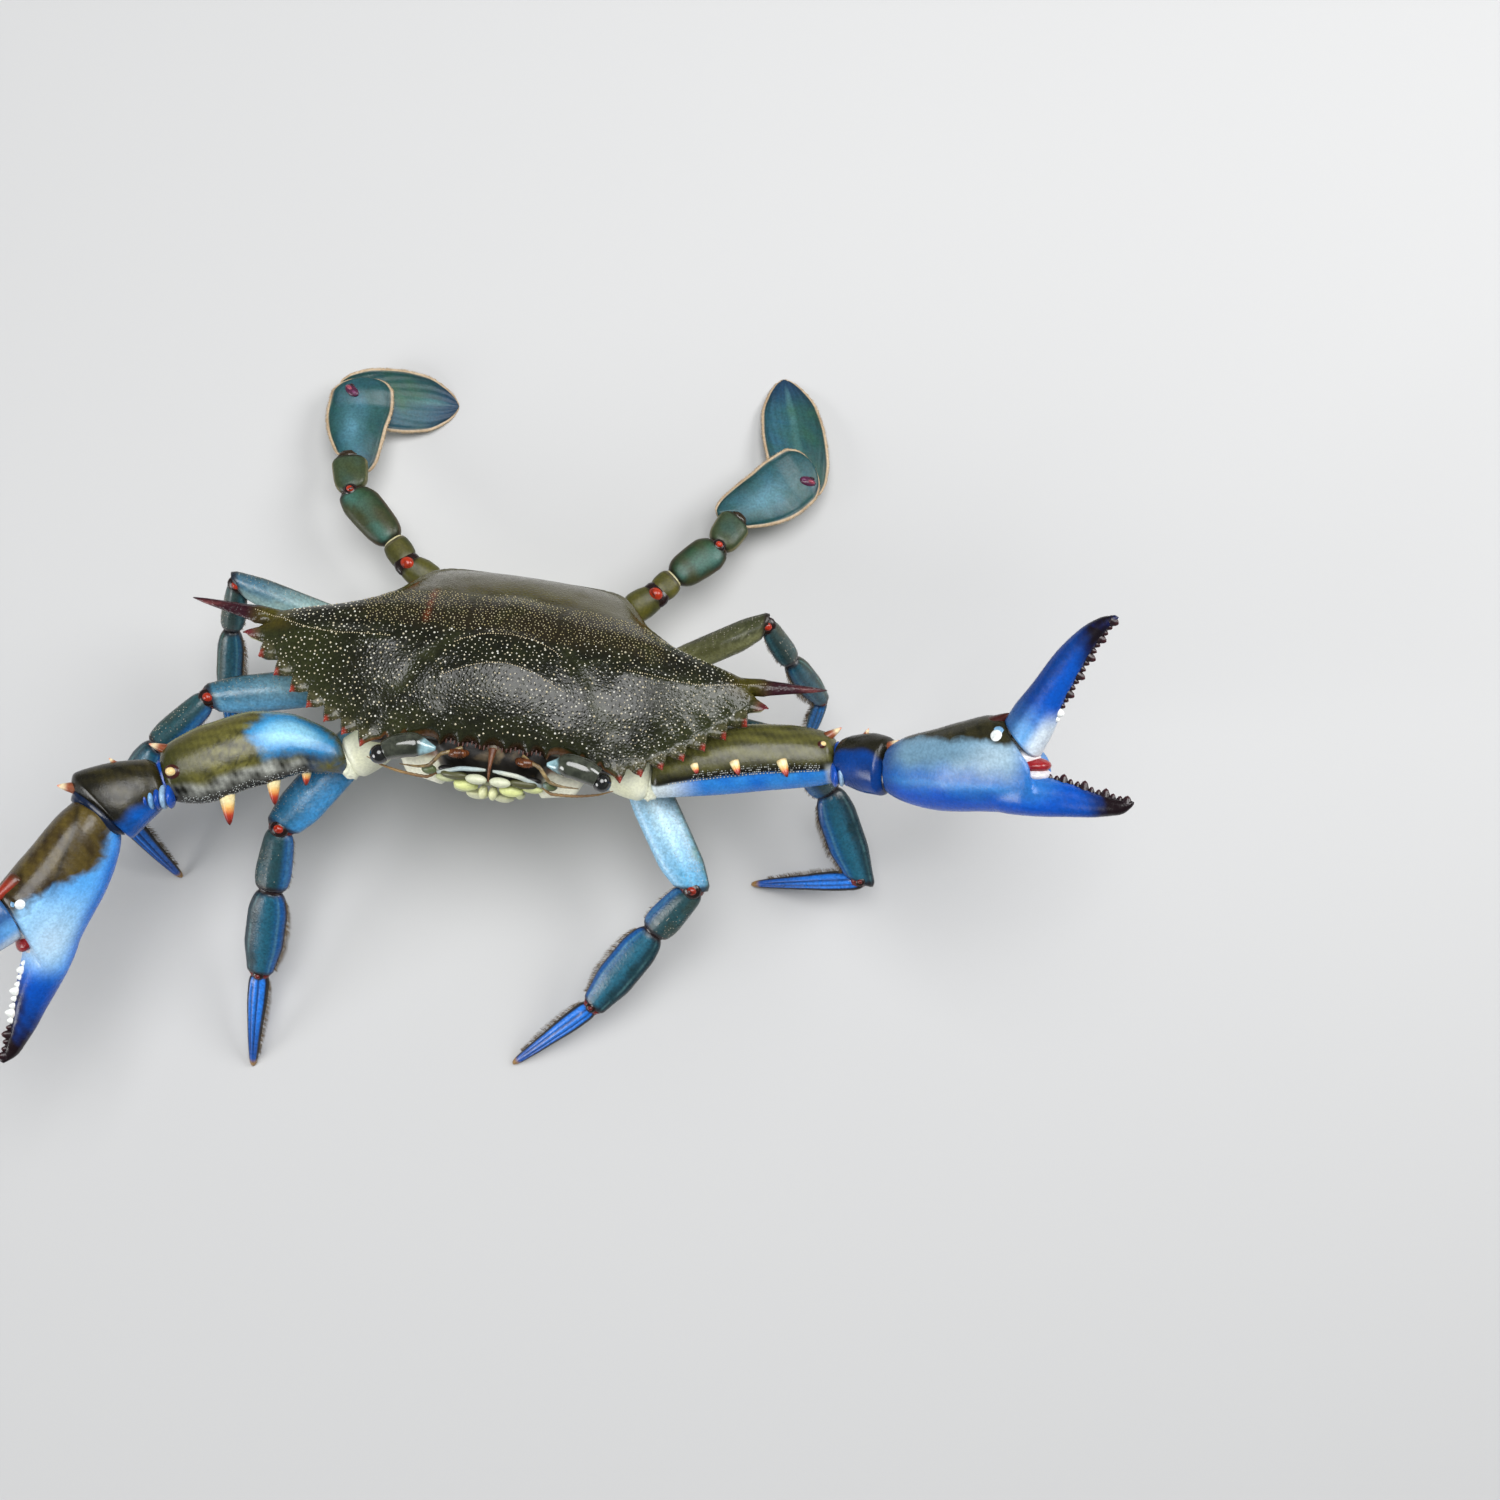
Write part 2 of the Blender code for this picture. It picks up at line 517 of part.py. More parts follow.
def root_direction(number, side):
    """Which way a limb's root points, out and a little down."""
    u, v, w = ROOT_RUNS[number]
    return (body_point(side * u, v, w) - body_point(0, 0, 0)).normalized()


def limb_pose(number, side):
    """First joints of a limb, as places, and the lengths and angles of its further segments."""
    name = "left" if side > 0 else "right"
    if number == 0:
        return CLAW_JOINTS[name], CLAW_POSES[name]
    if number == 4:
        return PADDLE_JOINTS[name], PADDLE_POSES[name]
    leg = "%s_%d" % (name, number + 1)
    return [LEG_KNEES[leg]], LEG_POSES[leg]


def joint_plane(before, after):
    return (before + after).normalized()


def limb_roots():
    roots = []
    for number in range(len(ROOTS)):
        for side in (-1, 1):
            direction = root_direction(number, side)
            end = root_place(number, side)
            first = Vector(limb_pose(number, side)[0][0]) - end
            plane = joint_plane(direction, first.normalized())
            radius = ROOT_RADII[number]
            profile = [(t, radius * wide, radius * thick) for t, wide, thick in ROOT_PROFILE]
            roots.append(segment(end - direction * ROOT_LENGTH, end, None, plane, profile, SIDES, rows=3))
    return roots


def chain(number, side):
    """Joint places, directions and joint planes of a limb; a leg's last segment ends on the floor."""
    joints, pose = limb_pose(number, side)
    places = [root_place(number, side)]
    directions = []
    for joint in joints:
        directions.append((Vector(joint) - places[-1]).normalized())
        places.append(Vector(joint))
    for length, turn, rise in pose:
        start = places[-1]
        if rise is None:
            drop = start.z - TIP_HEIGHT
            flat = sqrt(max(1.0, length * length - drop * drop))
            step = heading(turn, 0) * flat - UP * drop
        else:
            step = heading(turn, rise) * length
        places.append(start + step)
        directions.append(step.normalized())
    before = root_direction(number, side)
    planes = []
    for direction in directions:
        planes.append(joint_plane(before, direction))
        before = direction
    planes.append(None)
    return places, directions, planes


def cut_at_floor(bm):
    """Cuts off what would reach below the floor, which leaves a small flat to stand on."""
    if min(vert.co.z for vert in bm.verts) >= 0:
        return
    geometry = bm.verts[:] + bm.edges[:] + bm.faces[:]
    bmesh.ops.bisect_plane(bm, geom=geometry, dist=0.0001, plane_co=(0, 0, 0), plane_no=UP, clear_inner=True)
    rim = [edge for edge in bm.edges if edge.is_boundary]
    bmesh.ops.holes_fill(bm, edges=rim, sides=0)


def make_leg(name, number, side, parts):
    places, directions, planes = chain(number, side)
    for k, kind in enumerate(("merus", "carpus", "propodus", "dactyl")):
        foot = kind == "dactyl"
        bm = segment(places[k], places[k + 1], planes[k], planes[k + 1], LEG_PROFILES[kind],
                     8 if kind in ("carpus", "dactyl") else SIDES, rows=6, sag=1.0 if foot else 0.0,
                     stations=FOOT_STATIONS if foot else None)
        cut_at_floor(bm)
        new_object("%s_%s" % (name, kind), bm, parts)


def make_paddle_leg(name, side, parts):
    places, directions, planes = chain(4, side)
    kinds = ("coxa", "ischium", "merus", "carpus", "propodus", "dactyl")
    for k, kind in enumerate(kinds):
        rows = 4 if kind in ("coxa", "ischium", "carpus") else 8
        bm = segment(places[k], places[k + 1], planes[k], planes[k + 1], PADDLE_PROFILES[kind],
                     rows=rows, stations=FOOT_STATIONS if kind == "dactyl" else None)
        cut_at_floor(bm)
        new_object("%s_5_%s" % (name, kind), bm, parts)


def claw_axes(name, direction):
    """Height direction of a claw, towards its movable finger, and its thickness direction."""
    level = direction.cross(UP).normalized() * (1 if name == "right" else -1)
    raised = level.cross(direction) * (1 if name == "left" else -1)
    if raised.z < 0:
        raised = -raised
    height = level * cos(CLAW_ROLL[name]) + raised * sin(CLAW_ROLL[name])
    return height.normalized(), direction.cross(height).normalized()


def claw_rings(profile, start, along, height, thick, sides, square=0.85):
    rings = []
    for x, middle, half_height, half_thickness in profile:
        place = start + along * x + height * middle
        rings.append(oval_ring(place, height, thick, half_height, half_thickness, sides, square))
    return rings


def finger_spikes(profile, start, along, height, side, bite):
    """Blunt teeth along a finger's biting edge, larger towards its middle."""
    first, last = bite
    spikes = []
    for i in range(FINGER_TEETH):
        t = (i + 0.5) / FINGER_TEETH
        x = first + (last - first) * t
        middle, half_height, half_thickness = blend(profile, x)
        size = FINGER_TOOTH * (0.65 + 0.5 * sin(pi * t)) * (1.15 if i % 2 else 0.8)
        edge = start + along * x + height * (middle + side * half_height)
        root = edge - height * (side * FINGER_TOOTH_SUNK)
        radius = min(FINGER_TOOTH_RADIUS, half_thickness * 0.8)
        spikes.append(spike(root, edge + height * (side * size), radius, 5))
    return spikes


def make_claw(name, side, parts):
    places, directions, planes = chain(0, side)
    for k, kind in enumerate(("ischium", "merus", "carpus")):
        bm = segment(places[k], places[k + 1], planes[k], planes[k + 1], CLAW_ARM_PROFILES[kind], 12,
                     rows=4 if kind != "merus" else 7)
        arm = new_object("%s_claw_%s" % (name, kind), bm, parts)
        if kind == "merus":
            fuse(arm, arm_spikes(places[k], places[k + 1]))
        if kind == "carpus":
            fuse(arm, wrist_spikes(places[k], places[k + 1]))
    make_palm(name, places[3], directions[3], planes[3], parts)


def arm_front(start, end):
    """Direction along a claw arm, and out of its front edge."""
    along = (end - start).normalized()
    front = along.cross(UP).normalized()
    return along, (-front if front.y > 0 else front)


def arm_spine(base, along, out, run, forward, rise, radius):
    return spike(base, base + out * run + along * forward + UP * rise, radius, 6)


def arm_spikes(start, end):
    """Spines on the arm's front edge and one at the far end of its rear edge."""
    along, front = arm_front(start, end)
    root, *shape = ARM_SPINE
    spikes = [arm_spine(start.lerp(end, t) + front * root, along, front, *shape) for t in ARM_SPINES]
    t, root, *shape = ARM_END_SPINE
    spikes.append(arm_spine(start.lerp(end, t) - front * root, along, -front, *shape))
    return spikes


def wrist_spikes(start, end):
    along, front = arm_front(start, end)
    t, root, *shape = WRIST_SPINE
    base = start.lerp(end, t) - front * root + UP * WRIST_SPINE_LIFT
    return [arm_spine(base, along, -front, *shape)]


def make_palm(name, start, along, plane, parts):
    height, thick = claw_axes(name, along)
    rings = claw_rings(PALM, start, along, height, thick, 14)
    for i, slide in enumerate(mitre(rings[0], start, along, plane, 1)):
        rings[0][i] = rings[0][i] + along * slide
    end_place = start + along * PALM_END[0] + height * PALM_END[1]
    slant = along * cos(PALM_END_SLANT) + height * sin(PALM_END_SLANT)
    for row, share in ((-1, 1.0), (-2, 0.25)):
        slides = mitre(rings[-1], end_place, along, slant, -1)
        for i, slide in enumerate(slides):
            rings[row][i] = rings[row][i] + along * (min(slide, PALM_END_REACH) * share)
    palm = new_object("%s_claw_palm" % name, loft(rings), parts)
    pieces = [loft(claw_rings(FIXED_FINGER, start, along, height, thick, 10))]
    pieces += finger_spikes(FIXED_FINGER, start, along, height, 1, FIXED_BITE)
    horn = [start + along * x + height * y for x, y in PALM_HORN]
    pieces.append(spike(horn[0], horn[1], PALM_HORN_RADIUS, 6))
    fuse(palm, pieces)
    opening = CLAW_OPENING[name]
    finger_along = along * cos(opening) + height * sin(opening)
    finger_height = height * cos(opening) - along * sin(opening)
    rings = claw_rings(MOVABLE_FINGER, end_place, finger_along, finger_height, thick, 10)
    for i, slide in enumerate(mitre(rings[0], end_place, finger_along, slant, 1)):
        rings[0][i] = rings[0][i] + finger_along * slide
    finger = new_object("%s_claw_finger" % name, loft(rings), parts)
    fuse(finger, finger_spikes(MOVABLE_FINGER, end_place, finger_along, finger_height, -1, MOVABLE_BITE))


def abdomen_path():
    """Middle line of the tail plate, just clear of the underside from its rear rim to its front end."""
    skin = [flank_point(0, CARAPACE_OUTLINE[0][0], depth, inward) for depth, inward in BODY_LEVELS[:-2]]
    away = GAP + ABDOMEN_THICKNESS / 2
    down = body_point(0, 0, -1) - body_point(0, 0, 0)
    forward = body_point(0, 1, 0) - body_point(0, 0, 0)
    path = []
    for number, point in enumerate(skin):
        before = skin[max(0, number - 1)]
        after = skin[min(len(skin) - 1, number + 1)]
        run = (after - before).normalized()
        outward = run.cross(Vector((1, 0, 0)))
        if outward.y < 0:
            outward = -outward
        path.append(point + outward * away)
    floor = body_point(0, STERNUM_MIDDLE - STERNUM_HALF_LENGTH, -STERNUM_DEPTH) + down * away
    for ahead in ABDOMEN_AHEAD:
        path.append(floor + forward * ahead)
    return path


def make_abdomen(parts):
    """The male's narrow tail plate, folded forward under the body from its rear edge."""
    path = abdomen_path()
    rings = []
    for number, (middle, half_width) in enumerate(zip(path, ABDOMEN_WIDTHS)):
        before = path[max(0, number - 1)]
        after = path[min(len(path) - 1, number + 1)]
        outward = (after - before).normalized().cross(Vector((1, 0, 0))) * (ABDOMEN_THICKNESS / 2)
        across = [Vector((half_width * (step / 2 - 1), 0, 0)) for step in range(5)]
        ring = [middle + outward + offset for offset in across]
        ring += [middle - outward + offset for offset in reversed(across)]
        rings.append(ring)
    new_object("abdomen", loft(rings), parts)


def make_mouth(parts):
    """The third maxillipeds, a pair of flat plates that close the mouth."""
    for side, name in ((-1, "right"), (1, "left")):
        rings = []
        for v, w, inner, outer in MAXILLIPED_ROWS:
            across = (inner, (inner + outer) / 2, outer)
            ahead, down = MAXILLIPED_FACE
            low = [body_point(side * u, v, w) for u in across]
            high = [body_point(side * u, v + ahead, w + down) for u in reversed(across)]
            rings.append(low + high)
        plate = new_object("%s_maxilliped" % name, loft(rings), parts)
        bulges = []
        for u, v, w, radii in MAXILLIPED_BULGES:
            bulges.append(ball(body_point(side * u, v, w), radii, None, 6))
        fuse(plate, bulges)


def make_eye(name, side, parts):
    """Stalk from the inner end of the orbit and the dark ball at its outer end."""
    start, end, middle = [body_point(side * u, v, w) for u, v, w in EYE_STALK + [EYE_BALL]]
    eye = new_object("%s_eye" % name, segment(start, end, None, None, EYE_STALK_PROFILE, rows=5), parts)
    fuse(eye, [ball(middle, [EYE_RADIUS] * 3, None, 8)])


def make_feelers(name, side, parts):
    """Long outer feeler and short folded inner feeler."""
    for kind, places in (("antenna", ANTENNA), ("antennule", ANTENNULE)):
        points = [body_point(side * u, v, w) for u, v, w, _ in places]
        radii = [radius for _, _, _, radius in places]
        new_object("%s_%s" % (name, kind), loft(tube_rings(points, radii, 6)), parts)


def tube_rings(points, radii, sides):
    """Rings along a bent line, each square to it."""
    rings = []
    for number, (point, radius) in enumerate(zip(points, radii)):
        before = points[max(0, number - 1)]
        after = points[min(len(points) - 1, number + 1)]
        direction = (after - before).normalized()
        wide = direction.cross(UP).normalized()
        rings.append(oval_ring(point, wide, wide.cross(direction), radius, radius, sides))
    return rings


def slot_of(name):
    """Material of a node, from the first of these words in its name."""
    words = (("carapace", "shell_olive"), ("ventral", "underside_cream"), ("abdomen", "underside_cream"),
             ("maxilliped", "mouth_cream"), ("eye", "eye_dark"), ("antenn", "feeler_brown"),
             ("claw_palm", "claw_blue"), ("claw_finger", "claw_blue"), ("claw", "arm_olive"),
             ("_5_", "paddle_blue"))
    for word, slot in words:
        if word in name:
            return slot
    return "leg_teal"


def paint(parts):
    made = {}
    for slot, (color, roughness) in MATERIALS.items():
        material = bpy.data.materials.new(slot)
        material.use_nodes = True
        shader = material.node_tree.nodes["Principled BSDF"]
        shader.inputs["Base Color"].default_value = (*color, 1)
        shader.inputs["Roughness"].default_value = roughness
        made[slot] = material
    for item in parts.objects:
        item.data.materials.clear()
        item.data.materials.append(made[slot_of(item.name)])
        item.data.shade_smooth()
        item.data.set_sharp_from_angle(angle=radians(40))


def centre_on_floor(parts):
    """Puts the middle of the whole model's box over the origin."""
    corners = [item.matrix_world @ vert.co for item in parts.objects for vert in item.data.vertices]
    low = Vector([min(corner[i] for corner in corners) for i in range(3)])
    high = Vector([max(corner[i] for corner in corners) for i in range(3)])
    shift = Vector((-(low.x + high.x) / 2, -(low.y + high.y) / 2, -low.z))
    for item in parts.objects:
        item.data.transform(Matrix.Translation(shift))


def build():
    for item in list(bpy.data.objects):
        bpy.data.objects.remove(item)
    parts = bpy.data.collections.new("blue_crab")
    bpy.context.scene.collection.children.link(parts)
    make_carapace(parts)
    make_ventral_body(parts)
    make_abdomen(parts)
    make_mouth(parts)
    for name, side in (("right", -1), ("left", 1)):
        make_eye(name, side, parts)
        make_feelers(name, side, parts)
        make_claw(name, side, parts)
        for number in (1, 2, 3):
            make_leg("%s_%d" % (name, number + 1), number, side, parts)
        make_paddle_leg(name, side, parts)
    centre_on_floor(parts)
    paint(parts)


build()
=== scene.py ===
from math import cos, sin, pi, radians, sqrt

import bpy
import bmesh
import numpy as np
from mathutils import Matrix, Vector
from mathutils.geometry import delaunay_2d_cdt


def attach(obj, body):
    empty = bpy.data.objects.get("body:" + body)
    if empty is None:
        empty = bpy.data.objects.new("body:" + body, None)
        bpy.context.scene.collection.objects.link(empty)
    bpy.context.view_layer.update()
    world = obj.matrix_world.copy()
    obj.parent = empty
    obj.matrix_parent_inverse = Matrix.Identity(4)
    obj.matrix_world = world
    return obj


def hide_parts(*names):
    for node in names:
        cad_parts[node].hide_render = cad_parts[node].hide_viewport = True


# A blue crab as a still museum model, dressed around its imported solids. Lengths are in millimetres in
# the crab's own frame: it faces -Y, its left side is +X, and its body's middle is over (0, 0).
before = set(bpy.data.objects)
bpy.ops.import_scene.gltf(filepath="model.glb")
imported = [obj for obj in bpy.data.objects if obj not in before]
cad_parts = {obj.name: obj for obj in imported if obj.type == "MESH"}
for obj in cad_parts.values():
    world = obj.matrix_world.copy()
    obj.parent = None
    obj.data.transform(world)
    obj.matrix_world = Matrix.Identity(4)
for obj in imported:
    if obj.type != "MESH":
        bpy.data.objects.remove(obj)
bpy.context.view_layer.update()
MM = 0.001
GAP = 0.3
UP = Vector((0, 0, 1))

# The values that the solids are made from
BODY_HEIGHT = 45.0
BODY_PITCH = radians(32)
SPINE_REACH = 82.5
SHELL_EDGE = 1.2
FRONT_DROP = 0.0042
REAR_DROP = 0.0088
SIDE_DROP = 1.5
SIDE_DROP_START = 46.0
SPINE_BASE = 62.0
CARAPACE_OUTLINE = [(-33, 22.5), (-30, 26), (-24, 29.5), (-19, 31.8), (-14, 34.5), (-11, 37.5), (-8, 41),
                    (-5.5, 45), (-3.5, 50), (-2, 55), (0, 61), (1.5, 63.5), (4, 64.3), (6, 63), (9, 61),
                    (12, 58.5), (16, 54), (20, 49.5), (23.7, 44.5), (27, 39.5), (30, 34.5), (32.5, 31),
                    (34.5, 28)]
CROWN = [(-33, 1.2), (-28, 4.5), (-20, 8), (-10, 10.5), (0, 11.5), (10, 11.5), (20, 9.3), (25.5, 6.6),
         (29.5, 3.4), (31.5, 1.9), (34.5, 1.3)]
TEETH = 8
TOOTH_FIRST = (32.5, 34.7)
TOOTH_LAST = (67.7, 8.6)
TOOTH_BOW = 3.2
STERNUM_HALF_WIDTH = 24.0
STERNUM_HALF_LENGTH = 23.0
STERNUM_MIDDLE = 3.0
STERNUM_DEPTH = 25.0
BODY_LEVELS = [(0.0, 0.0), (0.1, 0.05), (0.2, 0.28), (0.36, 0.6), (0.6, 0.84), (0.85, 0.96), (0.96, 1.06),
               (1.0, 1.22)]
END_FULLNESS = 0.55
EYE_BALL = (26.6, 35.6, -6.2)
ABDOMEN_THICKNESS = 1.6
ABDOMEN_AHEAD = (0.5, 7, 15, 23, 31, 36)
ABDOMEN_WIDTHS = [16.5, 17.5, 18.0, 17.0, 12.5, 8.0, 6.2, 5.4, 4.8, 4.2, 2.6, 0.8]
ROOTS = [(29.5, 22, -16.5), (32, 9, -21), (33, 0, -20), (31.5, -9.5, -18), (27, -30.5, -13.5)]
ROOT_RADII = [6.2, 5.0, 5.0, 4.8, 4.8]
ROOT_RUNS = [(13, 4, -2), (13, 2, -3), (13, 0, -3), (13, -3, -3), (9, -10, -2)]
CLAW_JOINTS = {
    "right": [(-37.6, -35.0, 42.6), (-81.0, -46.8, 48.0)],
    "left": [(39.9, -29.5, 42.6), (87.6, -17.5, 48.0)],
}
CLAW_POSES = {"right": [(17.1, -144, 13), (69.0, -103, 3)], "left": [(16.5, -5, 42), (65.0, 0, 39)]}
CLAW_ROLL = {"right": radians(45), "left": radians(15)}
CLAW_OPENING = {"right": radians(30), "left": radians(55)}
LEG_KNEES = {
    "right_2": (-54.1, -54.3, 33.5),
    "left_2": (55.3, -55.4, 32.2),
    "right_3": (-75.8, -23.7, 41.2),
    "left_3": (78.6, -16.0, 37.1),
    "right_4": (-73.8, 7.1, 40.1),
    "left_4": (64.2, 15.4, 49.1),
}
LEG_POSES = {
    "right_2": [(17, -94, -17), (27.2, -96, -31), (30.6, -92, None)],
    "left_2": [(17.5, -124, -29), (28.4, -121, -20), (31.5, -135, None)],
    "right_3": [(17.9, -129, -6), (27.8, -127, -38), (30.6, -51, None)],
    "left_3": [(18, -35, -46), (28.7, -60, -20), (32.7, -170, None)],
    "right_4": [(14.9, -104, -44), (23, -95, -38), (27.1, -78, None)],
    "left_4": [(14.4, -40, -43), (22.3, -31, -52), (26.2, -97, None)],
}
PADDLE_JOINTS = {
    "right": [(-35.0, 22.7, 19.0), (-40.2, 28.7, 18.0)],
    "left": [(34.0, 24.5, 19.0), (38.2, 30.2, 18.0)],
}
PADDLE_POSES = {
    "right": [(19.1, 138, -8), (11.6, 106, -15), (19.7, 98, -14), (28.8, 8, None)],
    "left": [(16.0, 45, -8), (11.4, 65, -15), (23.2, 39, -12), (34.0, 106, None)],
}
TIP_HEIGHT = 0.15
FLOOR_CLEARANCE = 0.02
LEG_PROFILES = {
    "merus": [(0, 3.0, 2.2), (0.12, 3.8, 2.6), (0.45, 5.4, 3.1), (0.8, 5.3, 3.1), (1, 3.9, 2.6)],
    "carpus": [(0, 3.2, 2.4), (0.35, 3.9, 2.7), (0.75, 4.3, 2.8), (1, 3.7, 2.4)],
    "propodus": [(0, 3.3, 2.2), (0.3, 4.8, 2.5), (0.6, 4.8, 2.5), (0.88, 3.7, 2.1), (1, 3.2, 1.9)],
    "dactyl": [(0, 2.8, 1.8), (0.2, 2.8, 1.7), (0.5, 2.2, 1.4), (0.8, 1.5, 1.1), (0.96, 0.95, 0.85),
               (1, 0.5, 0.45)],
}
ARM_ISCHIUM = [(0, 5.4, 5.2, 0), (0.5, 5.8, 5.6, 0), (1, 5.6, 5.2, 0.3)]
PADDLE_PROFILES = {
    "coxa": [(0, 4.4, 3.8), (0.5, 4.4, 3.6), (1, 3.6, 3.0)],
    "ischium": [(0, 3.4, 2.8), (0.6, 3.9, 2.6), (1, 3.5, 2.4)],
    "merus": [(0, 3.6, 2.6), (0.3, 5.0, 2.9), (0.75, 5.4, 2.9), (1, 4.1, 2.4)],
    "carpus": [(0, 3.7, 2.3), (0.4, 4.8, 2.4), (0.8, 5.0, 2.2), (1, 3.9, 1.9)],
}
PALM = [(0, 0, 6.2, 4.8), (5, 0.4, 8.4, 6.2), (12, 0.8, 10.0, 7.1), (20, 2.0, 11.2, 7.8),
        (28, 3.3, 11.8, 7.6), (36.5, 3.6, 11.2, 6.4)]
PALM_END = (36.5, 10.0)
PALM_END_SLANT = radians(40)
FIXED_FINGER = [(26, -2.0, 5.0, 5.2), (33, -3.0, 5.6, 6.3), (38, -3.4, 5.3, 6.2), (43, -3.8, 4.8, 5.0),
                (49, -4.2, 4.0, 3.6), (56, -4.9, 2.8, 2.5), (61.5, -4.9, 1.8, 1.7), (64.5, -3.6, 0.7, 0.7)]
MOVABLE_FINGER = [(0, 0, 6.0, 4.6), (6, 0.4, 5.6, 4.3), (13, 0.9, 4.5, 3.8), (23, 1.2, 3.7, 3.1),
                  (31, 0.6, 2.7, 2.3), (36.5, -0.8, 1.6, 1.4), (39, -2.2, 0.6, 0.6)]


def body_vector(u, v, w):
    """The body's own directions (left, forward, up from its plane) as crab-frame vectors."""
    u, v, w = np.broadcast_arrays(np.asarray(u, float), np.asarray(v, float), np.asarray(w, float))
    along = cos(BODY_PITCH)
    rise = sin(BODY_PITCH)
    return np.stack([u, -v * along + w * rise, v * rise + w * along], -1)


def body_point(u, v, w):
    return body_vector(u, v, w) + np.array((0, 0, BODY_HEIGHT))


def side_name(side):
    return "left" if side > 0 else "right"


# The solids were moved so that their box is centred: how far is read off the left side spine's tip
spine = np.array(sorted({tuple(round(c, 7) for c in v.co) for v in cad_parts["carapace"].data.vertices}))
SHIFT = spine[-7:].mean(0) / MM - body_point(SPINE_REACH, 0, 1.8)


# Colours
def rgb(text):
    """A colour written as six hexadecimal digits, as linear light."""
    parts = [int(text[i:i + 2], 16) / 255 for i in (0, 2, 4)]
    return np.array([p / 12.92 if p < 0.04045 else ((p + 0.055) / 1.055) ** 2.4 for p in parts])


BLACK = rgb("0b0c08")
OLIVE = rgb("4b4a28")
OLIVE_YELLOW = rgb("85813f")
BROWN = rgb("3a2a15")
MAROON = rgb("2c1018")
DARK_RED = rgb("7d1512")
ORANGE = rgb("e0773a")
PINK = rgb("c4706a")
TAN = rgb("b39a72")
CREAM = rgb("dcdcae")
IVORY = rgb("e9dfb8")
WHITE = rgb("e6e9e4")
YELLOW = rgb("d8d27e")
COBALT = rgb("0658bc")
DEEP_BLUE = rgb("08308c")
PALE_BLUE = rgb("b4cfe0")
TEAL = rgb("1c5670")
TEAL_PALE = rgb("5f8f92")
GREY = rgb("5f6664")


def paint_of(color):
    """A colour written as text as linear light; paints pass as they are."""
    return rgb(color) if isinstance(color, str) else color


def mix(a, b, f):
    a, b = paint_of(a), paint_of(b)
    return a + (b - a) * np.clip(np.asarray(f, float), 0, 1)[..., None]


def over(paint, *coats):
    """A paint with coats laid over it, each a colour and how far it covers."""
    for color, cover in coats:
        paint = mix(paint, color, cover)
    return paint


def step(x, low, high):
    t = np.clip((np.asarray(x, float) - low) / (high - low), 0, 1)
    return t * t * (3 - 2 * t)


def peak(away, width):
    """A smooth bump: 1 where away is 0, and fading over the width."""
    return np.exp(-(away / width) ** 2)


def ripple(points, size, seed):
    """Smooth seeded waviness between -1 and 1 over places in space."""
    rng = np.random.default_rng(seed)
    total = np.zeros(points.shape[:-1])
    for _ in range(7):
        wave = rng.normal(size=3) / size * 2.2
        total += np.sin(points @ wave + rng.uniform(0, 2 * pi))
    return total / 4


def smooth_rows(table, t):
    """Values of a table of (place, value, ...) rows at the places t, along smooth curves."""
    table = np.array(table, float)
    x = table[:, 0]
    y = table[:, 1:]
    gap = np.diff(x)[:, None]
    slope = np.diff(y, axis=0) / gap
    tangent = np.zeros_like(y)
    turn = slope[:-1] * slope[1:]
    total = slope[:-1] + slope[1:]
    tangent[1:-1] = np.where(turn > 0, 2 * turn / np.where(turn > 0, total, 1), 0)
    tangent[0] = slope[0]
    tangent[-1] = slope[-1]
    t = np.asarray(t, float)
    k = np.clip(np.searchsorted(x, t, side="right") - 1, 0, len(x) - 2)
    h = gap[k]
    s = (np.clip(t, x[0], x[-1]) - x[k])[..., None] / h
    return ((2 * s ** 3 - 3 * s ** 2 + 1) * y[k] + (s ** 3 - 2 * s ** 2 + s) * h * tangent[k]
            + (3 * s ** 2 - 2 * s ** 3) * y[k + 1] + (s ** 3 - s ** 2) * h * tangent[k + 1])


# Meshes
def add_object(name, data):
    item = bpy.data.objects.new(name, data)
    bpy.context.scene.collection.objects.link(item)
    return item


def face_outward(mesh):
    bm = bmesh.new()
    bm.from_mesh(mesh)
    bmesh.ops.recalc_face_normals(bm, faces=bm.faces)
    bm.to_mesh(mesh)
    bm.free()


